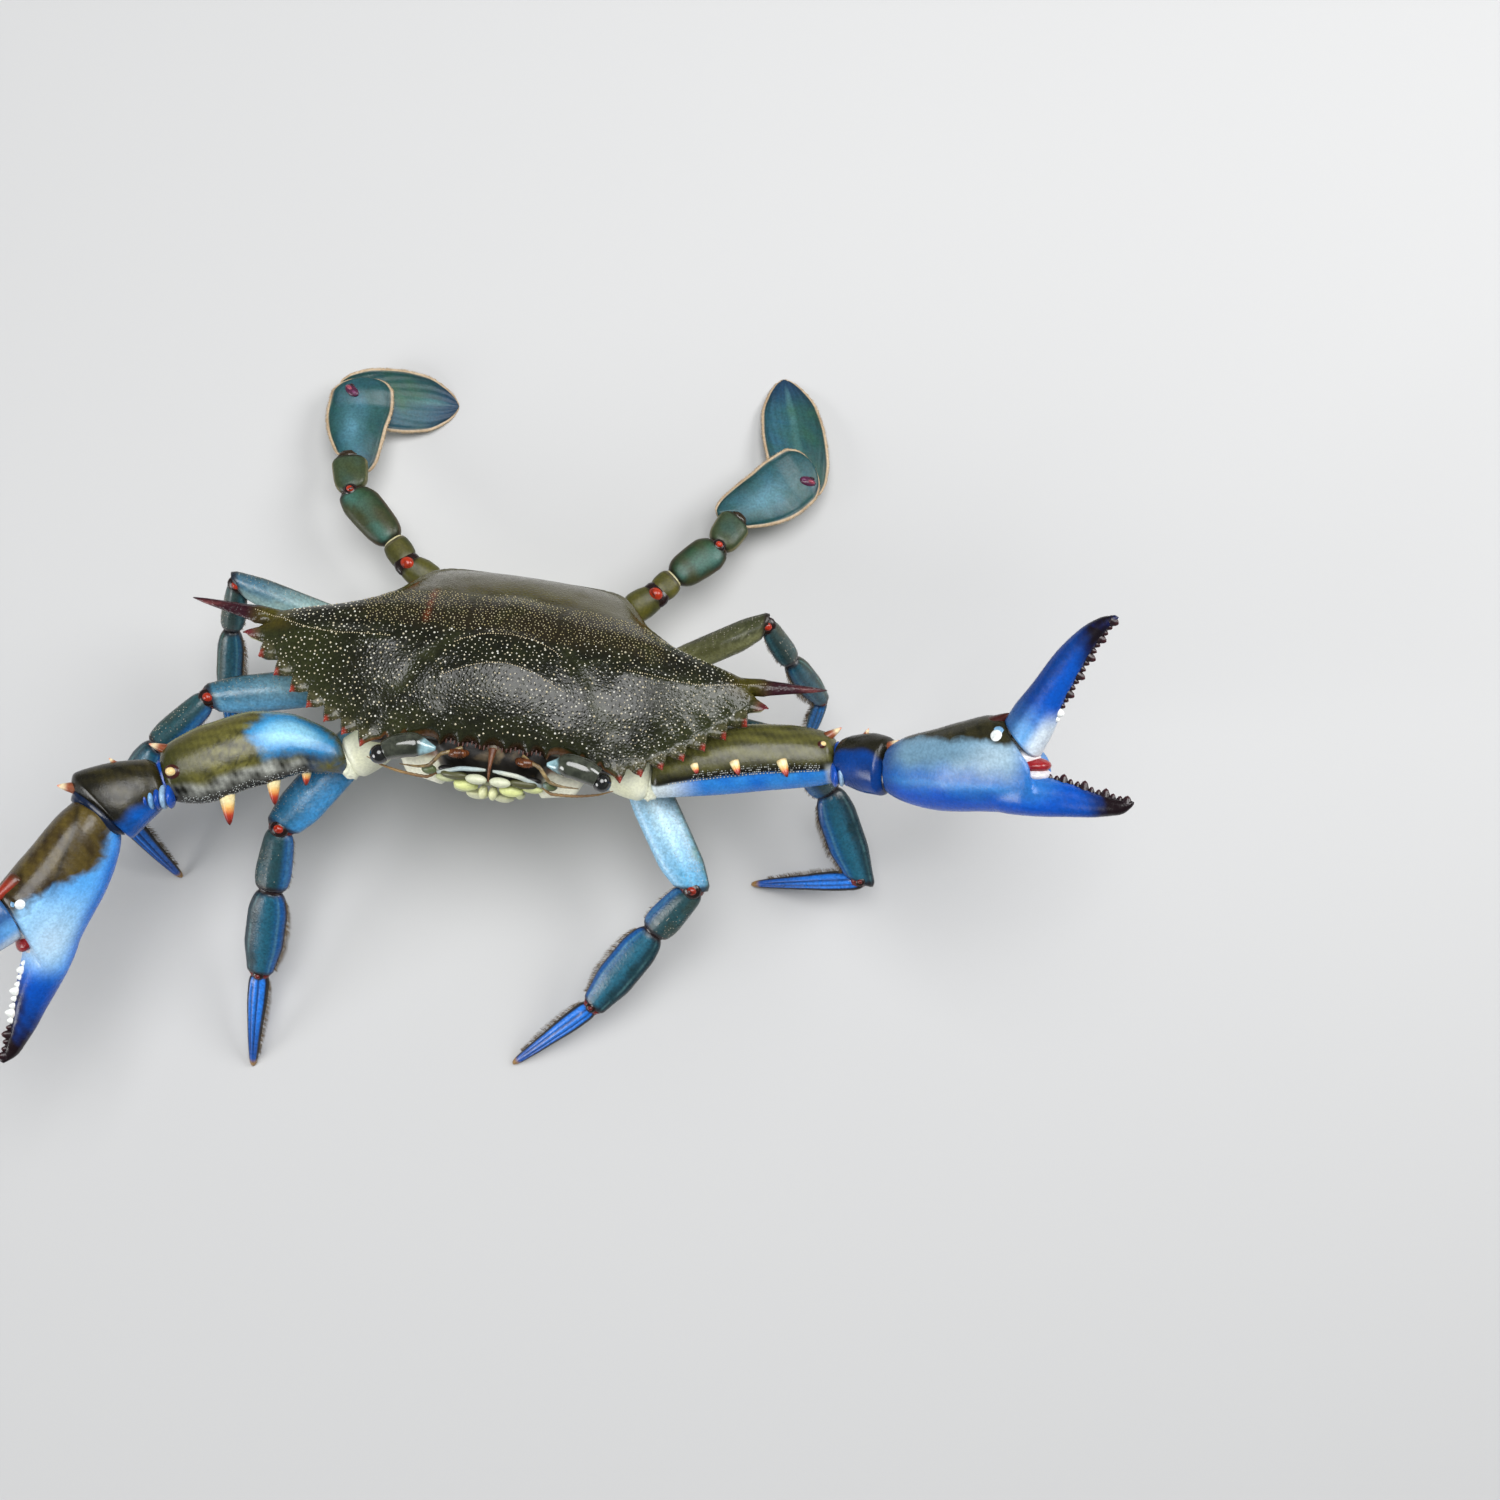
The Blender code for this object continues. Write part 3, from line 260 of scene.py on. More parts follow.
class Form:
    """Closed surfaces that make up one piece, with two paints and how far the second one shows."""

    def __init__(self):
        self.points = []
        self.faces = []
        self.first = []
        self.second = []
        self.share = []
        self.roots = []
        self.count = 0

    def add(self, points, faces, first, second=None, share=0.0, root=None):
        number = len(points)
        first = paint_of(first)
        second = first if second is None else paint_of(second)
        self.points.append(np.asarray(points, float))
        self.faces += [[i + self.count for i in face] for face in faces]
        self.first.append(np.broadcast_to(first, (number, 3)))
        self.second.append(np.broadcast_to(second, (number, 3)))
        self.share.append(np.broadcast_to(share, (number,)))
        if root is not None:
            self.roots.append(np.broadcast_to(root, (number, 2)))
        self.count += number

    def piece(self, name, material, slot, nodes=()):
        mesh = bpy.data.meshes.new(name)
        points = (np.concatenate(self.points) + SHIFT) * MM
        mesh.from_pydata(points.tolist(), [], self.faces)
        for label, parts in (("paint", self.first), ("paint2", self.second)):
            values = np.concatenate(parts)
            layer = mesh.color_attributes.new(label, "FLOAT_COLOR", "POINT")
            layer.data.foreach_set("color", np.hstack([values, np.ones((len(values), 1))]).ravel())
        layer = mesh.attributes.new("share", "FLOAT", "POINT")
        layer.data.foreach_set("value", np.concatenate(self.share).astype(float))
        if self.roots:
            root = np.concatenate(self.roots)
            uv = mesh.uv_layers.new(name="OFBake")
            loops = np.zeros(len(mesh.loops), int)
            mesh.loops.foreach_get("vertex_index", loops)
            spread = np.stack([np.arange(self.count) % 3, np.arange(self.count) // 3 % 3], -1) * 0.001
            uv.data.foreach_set("uv", (root + spread)[loops].ravel())
        face_outward(mesh)
        mesh.shade_smooth()
        mesh.materials.append(material)
        item = add_object(name, mesh)
        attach(item, "root")
        if nodes:
            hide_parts(*nodes)


def tube_faces(rows, sides):
    """Faces of a tube of rings, with a fan to a middle point at each end."""
    index = np.arange(rows * sides).reshape(rows, sides)
    after = np.roll(index, -1, 1)
    faces = np.stack([index[:-1], after[:-1], after[1:], index[1:]], -1).reshape(-1, 4).tolist()
    first = rows * sides
    faces += [[int(index[0, i]), int(after[0, i]), first] for i in range(sides)]
    faces += [[int(index[-1, i]), int(after[-1, i]), first + 1] for i in range(sides)]
    return faces


def add_tube(form, rings, first, second=None, share=0.0, root=None):
    """Adds a closed tube through rings of points; paints may be given for each ring point."""
    rows, sides = rings.shape[:2]

    def spread(value, width):
        """A value of this many parts for each point, with one more for the middle of each end."""
        value = np.asarray(paint_of(value), float)
        if value.ndim <= len(width):
            return value
        flat = value.reshape(rows * sides, *width)
        return np.concatenate([flat, flat[:1], flat[-1:]])

    points = np.concatenate([rings.reshape(-1, 3), rings[:1].mean(1), rings[-1:].mean(1)])
    second = first if second is None else second
    paints = spread(first, (3,)), spread(second, (3,))
    form.add(points, tube_faces(rows, sides), *paints, spread(share, ()), root)


def unit(vector):
    vector = np.asarray(vector, float)
    return vector / np.linalg.norm(vector, axis=-1, keepdims=True)


def ring_angles(sides):
    return 2 * pi * (np.arange(sides) + 0.5) / sides


def signed_power(x, power):
    return np.sign(x) * np.abs(x) ** power


def round_rings(middle, wide, thick, sides, power=1.0):
    """Rings round a line, from its half width and half thickness vectors; powers under 1 are blockier."""
    angle = ring_angles(sides)[:, None]
    return (middle[:, None] + wide[:, None] * signed_power(np.cos(angle), power)
            + thick[:, None] * signed_power(np.sin(angle), power))


def line_rings(points, radii, sides=10, flat=1.0, side=(0, 0, 1.0)):
    """Rings of a round bent line through points, thinner by flat across side."""
    points = np.asarray(points, float)
    radii = np.broadcast_to(radii, (len(points),))[:, None]
    run = unit(np.gradient(points, axis=0))
    wide = unit(np.cross(run, side))
    return round_rings(points, wide * radii, np.cross(wide, run) * radii * flat, sides)


def bend(points, count):
    """A smooth line with this many points through a few places."""
    points = np.asarray(points, float)
    reach = np.concatenate([[0], np.cumsum(np.linalg.norm(np.diff(points[:, :3], axis=0), axis=1))])
    return smooth_rows(np.column_stack([reach, points]), np.linspace(0, reach[-1], count))


def add_ball(form, middle, radii, first, axes=None, count=8, second=None, share=0.0, power=1.0):
    """An ellipsoid, with its pole along the last axis; powers under 1 make it blockier."""
    axes = np.eye(3) if axes is None else np.asarray(axes, float)
    radii = np.broadcast_to(radii, (3,))
    polar = np.linspace(0, pi, count + 2)[1:-1]
    angle = ring_angles(count * 2)
    x = np.outer(np.sin(polar), signed_power(np.cos(angle), power))
    y = np.outer(np.sin(polar), signed_power(np.sin(angle), power))
    z = np.broadcast_to(np.cos(polar)[:, None], x.shape)
    grid = (x[..., None] * axes[0] * radii[0] + y[..., None] * axes[1] * radii[1]
            + z[..., None] * axes[2] * radii[2]) + np.asarray(middle, float)
    pole = axes[2] * radii[2]
    points = np.concatenate([grid.reshape(-1, 3), [middle + pole], [middle - pole]])
    form.add(points, tube_faces(count, count * 2), first, second, share)


def add_beads(form, places, normals, radius, first, sides=7, height=0.75):
    """Small round granules standing on a surface."""
    angle = ring_angles(sides)
    for place, normal, size, color in zip(places, normals, np.broadcast_to(radius, (len(places),)),
                                          np.broadcast_to(first, (len(places), 3))):
        side = unit(np.cross(normal, (0.31, 0.87, 0.12)))
        other = np.cross(normal, side)
        circle = side * np.cos(angle)[:, None] + other * np.sin(angle)[:, None]
        points = np.concatenate([place - normal * size * 0.5 + circle * size,
                                 place + normal * size * height * 0.45 + circle * size * 0.8,
                                 [place + normal * size * height]])
        faces = [[i, (i + 1) % sides, sides + (i + 1) % sides, sides + i] for i in range(sides)]
        faces += [[sides + i, sides + (i + 1) % sides, 2 * sides] for i in range(sides)]
        faces.append(list(range(sides)))
        form.add(points, faces, color)


def add_cone(form, base, tip, radius, colors, sides=12, rows=9, flat=1.0, side=(0, 0, 1.0), bulge=0.35):
    """A pointed spine, fuller than a cone, painted from base to tip by rows of (place, colour)."""
    t = np.linspace(0, 1, rows)
    points = np.asarray(base)[None] + (np.asarray(tip) - np.asarray(base))[None] * t[:, None]
    radii = radius * np.maximum((1 - t) ** (1 - bulge), 0.03)
    rings = line_rings(points, radii, sides, flat, side)
    paint = smooth_rows([(place, *paint_of(color)) for place, color in colors], t)
    add_tube(form, rings, np.repeat(paint[:, None], sides, 1))


# Materials
def shell_material(name, rough=(0.22, 0.4), edge=0.35, blotch=420, mottle=0.35, fine=1500, bump=0.25,
                   pits=0.0, coat=0.0, specular=0.5, pit_scale=900, soft=0.08):
    """A shell's paint: two paints blended with a ragged edge, mottled, finely rough and slightly pitted."""
    material = bpy.data.materials.new(name)
    material.use_nodes = True
    tree = material.node_tree
    shader = tree.nodes["Principled BSDF"]

    def feed(item, inputs):
        """Sets numbers on a node's own sockets and links the outputs of other nodes."""
        for key, value in inputs.items():
            if isinstance(value, bpy.types.NodeSocket):
                tree.links.new(value, item.inputs[key])
            else:
                item.inputs[key].default_value = value

    def node(kind, output, inputs, **settings):
        item = tree.nodes.new("ShaderNode" + kind)
        for key, value in settings.items():
            setattr(item, key, value)
        feed(item, inputs)
        return item.outputs[output]

    def noise(scale, detail, distortion=0.0):
        inputs = {"Vector": place, "Scale": scale, "Detail": detail, "Distortion": distortion}
        return node("TexNoise", "Fac", inputs)

    def ramp(value, low, high, to_low, to_high):
        return node("MapRange", 0, {0: value, 1: low, 2: high, 3: to_low, 4: to_high},
                    interpolation_type="SMOOTHSTEP")

    def attribute(label, output):
        return node("Attribute", output, {}, attribute_name=label)

    place = node("TexCoord", "Object", {})
    paint = attribute("paint", "Color")
    paint2 = attribute("paint2", "Color")
    ragged = node("Math", 0, {2: attribute("share", "Fac"), 0: noise(blotch, 6, 0.8), 1: edge * 2},
                  operation="MULTIPLY_ADD")
    factor = ramp(ragged, 0.5 + edge - soft, 0.5 + edge + soft, 0, 1)
    blend = node("Mix", "Result", {"Factor": factor, "A": paint, "B": paint2}, data_type="RGBA")
    value = ramp(noise(fine, 4), 0.25, 0.75, 1 - mottle, 1 + mottle)
    color = node("HueSaturation", "Color", {"Color": blend, "Value": value})
    roughness = ramp(noise(fine * 0.4, 5), 0.3, 0.7, *rough)
    height = noise(fine * 1.3, 5)
    if pits:
        cells = node("TexVoronoi", "Distance", {"Vector": place, "Scale": pit_scale})
        deep = {0: ramp(cells, 0.0, 0.6, 1, 0), 1: pits, 2: height}
        height = node("Math", 0, deep, operation="MULTIPLY_ADD")
    relief = node("Bump", "Normal", {"Height": height, "Strength": bump, "Distance": 0.0002})
    feed(shader, {"Base Color": color, "Roughness": roughness, "Normal": relief,
                  "Specular IOR Level": specular, "Coat Weight": coat,
                  "Coat Roughness": 0.12 if coat else 0.03})
    return material


MAT_BACK = shell_material("back_shell", rough=(0.16, 0.27), edge=0.45, blotch=170, mottle=0.3, bump=0.24,
                          pits=1.5, specular=0.36, pit_scale=1250, soft=0.35)
MAT_GRAIN = shell_material("granule", rough=(0.3, 0.45), mottle=0.2)
MAT_CREAM = shell_material("cream_shell", rough=(0.32, 0.48), edge=0.25, blotch=150, mottle=0.1, bump=0.15)
MAT_LIMB = shell_material("leg_shell", rough=(0.24, 0.38), edge=0.3, blotch=380, mottle=0.25, bump=0.3,
                          pits=0.35, soft=0.22)
MAT_CLAW = shell_material("claw_shell", rough=(0.2, 0.32), edge=0.32, blotch=300, mottle=0.16, bump=0.16,
                          specular=0.36, soft=0.24)
MAT_PADDLE = shell_material("paddle_shell", rough=(0.3, 0.42), edge=0.35, blotch=150, mottle=0.2, bump=0.25,
                            soft=0.4, specular=0.3)
MAT_EYE = shell_material("eye_shell", rough=(0.08, 0.22), mottle=0.3, bump=0.05, fine=900, coat=0.8)
MAT_JOINT = shell_material("joint_skin", rough=(0.16, 0.3), mottle=0.2, bump=0.3, fine=1100)
MAT_TOOTH = shell_material("horn", rough=(0.22, 0.36), mottle=0.15, bump=0.15)
MAT_HAIR = shell_material("bristle", rough=(0.5, 0.7), mottle=0.3, bump=0.0)


# The back
def rim_height(u, v):
    droop = SIDE_DROP * (np.maximum(0.0, np.abs(u) - SIDE_DROP_START) / (SPINE_BASE - SIDE_DROP_START)) ** 2
    droop = np.minimum(droop, SIDE_DROP)
    return -np.where(v > 0, FRONT_DROP, REAR_DROP) * v * v - droop


# A side spine at distances from the middle of the body: half width, half thickness and height
SPINE_PROFILE = [(50, 3.4, 0.2, 0.4), (58, 3.9, 1.4, 0.9), (64, 3.3, 1.9, 1.1), (68, 2.5, 1.7, 1.2),
                 (73, 1.75, 1.3, 1.4), (79, 0.9, 0.75, 1.6), (82.5, 0.18, 0.16, 1.75)]


def spine_line(u):
    """Of a side spine: its middle line, half width, half thickness and height, out from the shell."""
    line = 2.6 - (u - 58) * 2.6 / 24.5
    return (line, *np.moveaxis(smooth_rows(SPINE_PROFILE, u), -1, 0))


RIDGE = [(66, 1.9), (60.8, 3.2), (54.2, 6.2), (48.5, 8.3), (39.6, 9.8), (30.2, 10.0)]
META_RIDGE = [(0, 5.4), (5.6, 6.0), (9.9, 7.4), (13.4, 9.6)]
EPI_RIDGE = [(0, 14.4), (4.5, 14.9), (9.0, 16.0), (15.2, 18.4)]
NECK_GROOVE = [(14.0, 7.5), (18.2, 12.1), (22.3, 16.0), (24.5, 20.6), (28.5, 24.0)]
MID_GROOVE = [(9.5, 7.0), (11.5, 2.0), (11.0, -3.0), (13.5, -9.0), (15.0, -16.0)]
BACK_GROOVE = [(0, -9.2), (6.0, -8.4), (12.0, -9.8)]
# Each line's height and width
RELIEF = ((NECK_GROOVE, -0.4, 2.2), (MID_GROOVE, -0.3, 2.2), (BACK_GROOVE, -0.3, 2.2),
          (RIDGE, 0.7, 2.4), (META_RIDGE, 0.35, 1.5), (EPI_RIDGE, 0.3, 1.6))
# Swellings of the back: place, radius and height
SWELLINGS = ((34, -6, 15, 1.3), (0, 17, 15, 1.1), (0, -4, 8, 0.9), (0, -18, 9, 0.5),
             (38, 15, 12, 0.7), (24, 12, 5, -0.4), (16.5, 28, 5, 0.5))


def run_distance(u, v, starts, ends):
    """Distance from places to the nearest of some straight runs."""
    best = np.full(u.shape, 1e9)
    for a, b in zip(starts, ends):
        run = b - a
        t = np.clip(((u - a[0]) * run[0] + (v - a[1]) * run[1]) / (run @ run), 0, 1)
        best = np.minimum(best, (u - a[0] - run[0] * t) ** 2 + (v - a[1] - run[1] * t) ** 2)
    return np.sqrt(best)


def line_distance(u, v, line):
    """Distance from places to a bent line, the same on both sides of the back."""
    line = bend(line, 24)
    return run_distance(np.abs(u), v, line[:-1], line[1:])


def edge_distance(u, v, line):
    """Distance from places to the closed outline."""
    return run_distance(u, v, line, np.roll(line, -1, 0))


def staggered(u_range, v_range, pitch, row_pitch):
    """Places in staggered rows."""
    u, v = np.meshgrid(np.arange(*u_range, pitch), np.arange(*v_range, row_pitch))
    return (u + (np.arange(len(u)) % 2)[:, None] * pitch / 2).ravel(), v.ravel()


def tooth_tip(number):
    t = number / (TEETH - 1)
    first = np.array(TOOTH_FIRST)
    return first + (np.array(TOOTH_LAST) - first) * t + (0, TOOTH_BOW * sin(pi * t))


def tooth_out(tip):
    return unit(tip - np.array((8, -14)))


def back_height(u, v):
    """Height of the back over the plane of the side spines."""
    half = smooth_rows(CARAPACE_OUTLINE, v)[..., 0]
    crown = smooth_rows(CROWN, v)[..., 0]
    across = np.minimum(1.0, np.abs(u) / half)
    dome = (1 - across ** 2.4) ** 0.9
    height = SHELL_EDGE + np.maximum(0.0, crown - SHELL_EDGE) * dome
    fade = np.minimum(1.0, (1 - across) * 5)
    for place_u, place_v, radius, swell in SWELLINGS:
        away = ((np.abs(u) - place_u) ** 2 + (v - place_v) ** 2) / (radius * radius)
        height = height + swell * fade * np.maximum(0.0, 1 - away) ** 2
    for line, depth, width in RELIEF:
        height = height + depth * fade * peak(line_distance(u, v, line), width)
    for number in range(TEETH):
        tip = tooth_tip(number)
        out = tooth_out(tip)
        along = (tip[0] - np.abs(u)) * out[0] + (tip[1] - v) * out[1]
        across_tooth = (np.abs(u) - tip[0]) * out[1] - (v - tip[1]) * out[0]
        rib = peak(across_tooth, 1.3) * step(along, -1, 1.5) * (1 - step(along, 6, 11))
        height = height + rib * 0.4
    return rim_height(np.zeros_like(v), v) + np.maximum(SHELL_EDGE, height)


FRONT_EDGE = [(0.0, 29.3), (1.4, 29.8), (3.1, 31.2), (4.8, 29.9), (6.6, 29.6), (8.6, 31.3), (10.4, 29.6),
              (11.8, 29.9), (13.4, 31.4), (14.2, 30.0), (16.0, 29.5), (18.8, 29.9), (21.4, 30.6),
              (22.2, 29.8), (23.2, 30.9), (26.0, 31.6), (26.8, 30.7), (27.8, 31.9), (29.6, 32.6),
              (31.2, 33.6)]
REAR_EDGE = [(64.0, -0.9), (61.5, -0.7), (55, -2), (50, -3.5), (45, -5.5), (41, -8), (37.5, -11),
             (34.5, -14), (31.8, -19), (29.5, -24), (26.3, -29.5), (22.8, -32.3), (18, -33.2), (0, -33.4)]


def outline():
    """The back's outline on its left side, from the front's middle to the rear's, with every tooth."""
    rows = [bend(FRONT_EDGE, 110)]
    for number in range(TEETH):
        tip = tooth_tip(number)
        out = tooth_out(tip)
        after = tooth_tip(number + 1) if number < TEETH - 1 else np.array((69.0, 3.6))
        notch = (tip + after) / 2 - out * (3.1 if number < TEETH - 1 else 6.0)
        side = np.array((out[1], -out[0]))
        edge = (tip + notch) / 2 + side * 0.12
        point = [tip + side * -0.28 - out * 0.25, tip, tip + side * 0.28 - out * 0.35]
        rows.append(bend(point + [edge, notch], 14))
        if number < TEETH - 1:
            rise = (after + notch) / 2 - side * 0.1
            rows.append(bend([notch + side * 0.5 + out * 0.1, rise, after - out * 0.6 - side * 0.4], 9))
    reach = np.linspace(66.0, SPINE_REACH, 34)
    line, width, _, _ = spine_line(reach)
    rows.append(np.stack([reach, line + width], -1))
    rows.append(np.stack([reach, line - width], -1)[::-1])
    rows.append(bend(REAR_EDGE, 150))
    points = np.concatenate(rows)
    keep = np.concatenate([[True], np.linalg.norm(np.diff(points, axis=0), axis=1) > 0.12])
    return points[keep]


def inside(u, v, line):
    """Which places lie inside the closed outline."""
    odd = np.zeros(u.shape, bool)
    for a, b in zip(line, np.roll(line, -1, 0)):
        if a[1] == b[1]:
            continue
        crosses = (a[1] > v) != (b[1] > v)
        odd ^= crosses & (u < a[0] + (v - a[1]) / (b[1] - a[1]) * (b[0] - a[0]))
    return odd


def back_surface(u, v, edge):
    """Heights of the upper and lower faces of the back, rounded over at its edge."""
    spine_v, width, thick, lift = spine_line(np.abs(u))
    out = step(np.abs(u), 60, 67)
    middle = rim_height(u, v) + 0.55
    middle = middle + (lift - middle) * out
    offset = np.clip(1 - ((v - spine_v) / width) ** 2, 0, 1)
    spine_top = lift + thick * np.sqrt(offset)
    top = np.where(np.abs(u) > 67, middle, back_height(u, v))
    top = np.where(np.abs(u) > 52, np.maximum(top, np.where(offset > 0, spine_top, -99)), top)
    round_over = np.where(np.abs(u) > 66, np.maximum(width, 0.2), np.where(v > 5, 1.0, 1.4))
    share = np.sqrt(np.clip(1 - (1 - np.minimum(edge, round_over) / round_over) ** 2, 0, 1))
    lip = (1 - step(v, -9, -5)) * (1 - step(np.abs(u), 44, 50))
    top = top + lip * (0.3 * peak(edge - 1.2, 0.6) - 0.35 * peak(edge - 2.7, 0.8))
    under = np.where(np.abs(u) > 66, lift - thick * np.sqrt(offset), rim_height(u, v))
    under = np.where(np.abs(u) > 66, under, rim_height(u, v) * (1 - out) + (lift - thick) * out)
    return middle + (top - middle) * share, middle + (under - middle) * share


def back_paint(u, v, edge):
    """First and second paint of the back and how far the second one shows."""
    side = np.abs(u)
    place = np.stack([u, v, np.zeros_like(u)], -1)
    wave = ripple(place, 6, 3)
    half = smooth_rows(CARAPACE_OUTLINE, v)[..., 0]
    rear = 1 - step(v + wave, -12, -4)
    behind = step(side, 28, 36) * (1 - step(v, 5.0, 8.5)) * (1 - step(half - side, 4, 10))
    olive = np.maximum(rear, behind)
    cheek = step(side, 34, 50) * step(v, 5, 9)
    middle = step(v, -10, -4) * (1 - step(v + wave, 2, 8)) * (1 - step(side, 34, 46))
    first = over("16170b", ("0b0c06", 0.5 + 0.5 * wave), ("231c0e", middle * 0.8),
                 ("272b12", cheek * 0.8), ("38310f", olive))
    second = over("232612", ("2c2f17", 0.5 + 0.5 * ripple(place, 11, 5)), ("45400f", olive * 0.9))
    share = 0.3 + 0.12 * wave + 0.25 * (1 - step(line_distance(u, v, NECK_GROOVE), 0.6, 2.8))
    share = share + 0.2 * (1 - step(edge, 2, 6)) + olive * 0.1
    for number in range(TEETH):
        tip = tooth_tip(number)
        away = np.hypot(side - tip[0], v - tip[1])
        tone = "8f3026" if number < 7 else "5f2028"
        first = mix(first, "2f3518", (1 - step(away, 2, 6)) * 0.5)
        coats = ((mix(TAN, CREAM, 0.3) * 0.55, peak(away - 3.2, 0.9) * 0.15),
                 (tone, 1 - step(away, 0.6, 1.9 if number < 7 else 5.0)))
        first = over(first, *coats)
        second = over(second, *coats)
    horn = step(side, 62.5, 69) * (1 - step(v, 4.6, 6.2))
    lip = 1 - step(edge, 0.08, 0.25)
    orbit = lip * step(side, 13.0, 14.0) * (1 - step(side, 31, 32.5)) * step(v, 26, 27)
    brow = lip * (1 - step(side, 12.5, 14)) * step(v, 26, 28)
    streak = peak(u + 22, 0.9) * step(v, -11, -8) * (1 - step(v, 3, 5))
    # The pink streak along the top of each side spine is a painted highlight
    coats = ((MAROON, horn), (mix(MAROON, PINK, 0.5), step(side, 70, 82) * 0.5 * peak(v - 1.2, 0.5)),
             ("6a4428", orbit), ("342014", brow),
             ("8a3a18", streak * 0.6 * (0.5 + 0.5 * ripple(place, 2, 8))))
    return over(first, *coats), over(second, *coats), share


# Distances between the points of the back's mesh, from its outline to the rings along it, and for slopes
BACK_STEP = 0.72
RIM_RINGS = (0.16, 0.42, 0.75)
SLOPE_STEP = 0.15


def make_back():
    half = outline()
    closed = np.concatenate([half, (half * (-1, 1))[::-1]])
    keep = np.linalg.norm(closed - np.roll(closed, 1, 0), axis=1) > 0.05
    closed = closed[keep]
    u, v = staggered((-84, 84), (-35, 38), BACK_STEP, BACK_STEP * sqrt(3) / 2)
    keep = inside(u, v, closed) & (edge_distance(u, v, closed) > 0.95)
    inner = [np.stack([u[keep], v[keep]], -1)]
    run = unit(np.roll(closed, -1, 0) - np.roll(closed, 1, 0))
    normal = np.stack([-run[:, 1], run[:, 0]], -1)
    for away in RIM_RINGS:
        for sign in (-1, 1):
            ring = closed + normal * away * sign
            u, v = ring.T
            inner.append(ring[inside(u, v, closed) & (edge_distance(u, v, closed) > away * 0.93)])
    points = [Vector(place) for place in np.concatenate([closed, *inner])]
    flat, _, faces, _, _, _ = delaunay_2d_cdt(points, [], [list(range(len(closed)))], 1, 1e-5, True)
    flat = np.array([tuple(place) for place in flat])
    u, v = flat.T
    edge = edge_distance(u, v, closed)
    top, under = back_surface(u, v, edge)
    first, second, share = back_paint(u, v, edge)
    off_rim = edge >= 0.01
    number = int(off_rim.sum())
    lower_index = np.arange(len(flat))
    lower_index[off_rim] = len(flat) + np.arange(number)
    middles = np.array([flat[list(face)].mean(0) for face in faces])
    faces = [list(face) for face, keep in zip(faces, inside(*middles.T, closed)) if keep]
    faces += [[int(lower_index[i]) for i in reversed(face)] for face in faces]
    form = Form()
    form.add(np.concatenate([body_point(u, v, top), body_point(u, v, under)[off_rim]]), faces,
             np.concatenate([first, np.broadcast_to(mix(CREAM, GREY, 0.3), (number, 3))]),
             np.concatenate([second, np.broadcast_to(CREAM, (number, 3))]),
             np.concatenate([share, np.full(number, 0.5)]))
    form.piece("back_shell", MAT_BACK, "shell_olive", ["carapace"])
    return closed


def back_frame(u, v, closed):
    """Places on the back and its outward directions there."""
    edge = edge_distance(u, v, closed)

    def top(u, v):
        return back_surface(u, v, edge)[0]

    rise_u = (top(u + SLOPE_STEP, v) - top(u - SLOPE_STEP, v)) / (2 * SLOPE_STEP)
    rise_v = (top(u, v + SLOPE_STEP) - top(u, v - SLOPE_STEP)) / (2 * SLOPE_STEP)
    return body_point(u, v, top(u, v)), unit(body_vector(-rise_u, -rise_v, np.ones_like(u))), edge


def scatter(pitch, seed, jitter=0.3):
    rng = np.random.default_rng(seed)
    u, v = staggered((-70, 70), (-12, 36), pitch, pitch * 0.87)
    u = u + rng.uniform(-1, 1, u.size) * pitch * jitter
    v = v + rng.uniform(-1, 1, v.size) * pitch * jitter
    return u, v, rng


def make_granules(closed):
    form = Form()
    for pitch, dense in ((0.92, True), (1.32, False)):
        u, v, rng = scatter(pitch, 5 if dense else 6)
        keep = inside(u, v, closed)
        u, v = u[keep], v[keep]
        place, normal, edge = back_frame(u, v, closed)
        side = np.abs(u)
        half = smooth_rows(CARAPACE_OUTLINE, v)[..., 0]
        wave = ripple(np.stack([u, v, v * 0], -1), 5, 9)
        thick = (v + 1.5 * wave < 5.0) & (side < 39 + 2 * wave)
        smooth_rear = v < -9.0 + wave
        band = (side > 26) & (v < 9) & (half - side < 5.5 + wave)
        keep = (thick if dense else ~thick) & ~smooth_rear & ~band & (edge > 1.0) & (side < 66)
        keep &= line_distance(u, v, NECK_GROOVE) > 0.6
        keep &= line_distance(u, v, MID_GROOVE) > 0.5
        keep &= rng.uniform(size=len(u)) > (0.06 if dense else 0.12)
        number = int(keep.sum())
        radius = rng.uniform(0.12, 0.22, number) if dense else 0.13 + 0.2 * rng.uniform(0, 1, number) ** 1.5
        pale = mix(TAN, YELLOW, 0.35) * 0.62 if dense else mix(TAN, IVORY, 0.6) * 0.7
        color = mix(pale, WHITE * 0.8, rng.uniform(0, 0.25 if dense else 0.75, number))
        add_beads(form, place[keep], normal[keep], radius, color)
    for line, pitch, radius in ((RIDGE, 0.62, 0.15), (META_RIDGE, 0.6, 0.17), (EPI_RIDGE, 0.6, 0.15)):
        reach = int(np.linalg.norm(np.diff(np.array(line), axis=0), axis=1).sum() / pitch)
        for side in (-1, 1):
            path = bend(line, reach)
            place, normal, _ = back_frame(path[:, 0] * side, path[:, 1], closed)
            add_beads(form, place, normal, radius, mix(IVORY, ORANGE, 0.12) * 0.7)
    outer = closed[np.abs(closed[:, 0]) > 31]
    outer = outer[outer[:, 1] > 6]
    place, normal, _ = back_frame(outer[:, 0] * 0.992, outer[:, 1] * 0.992, closed)
    add_beads(form, place[::2], normal[::2], 0.1, mix(TAN, WHITE, 0.2) * 0.7)
    form.piece("back_granules", MAT_GRAIN, "shell_olive")


CLOSED = make_back()
make_granules(CLOSED)


# Limbs
def root_place(number, side):
    u, v, w = ROOTS[number]
    return Vector(body_point(side * u, v, w))


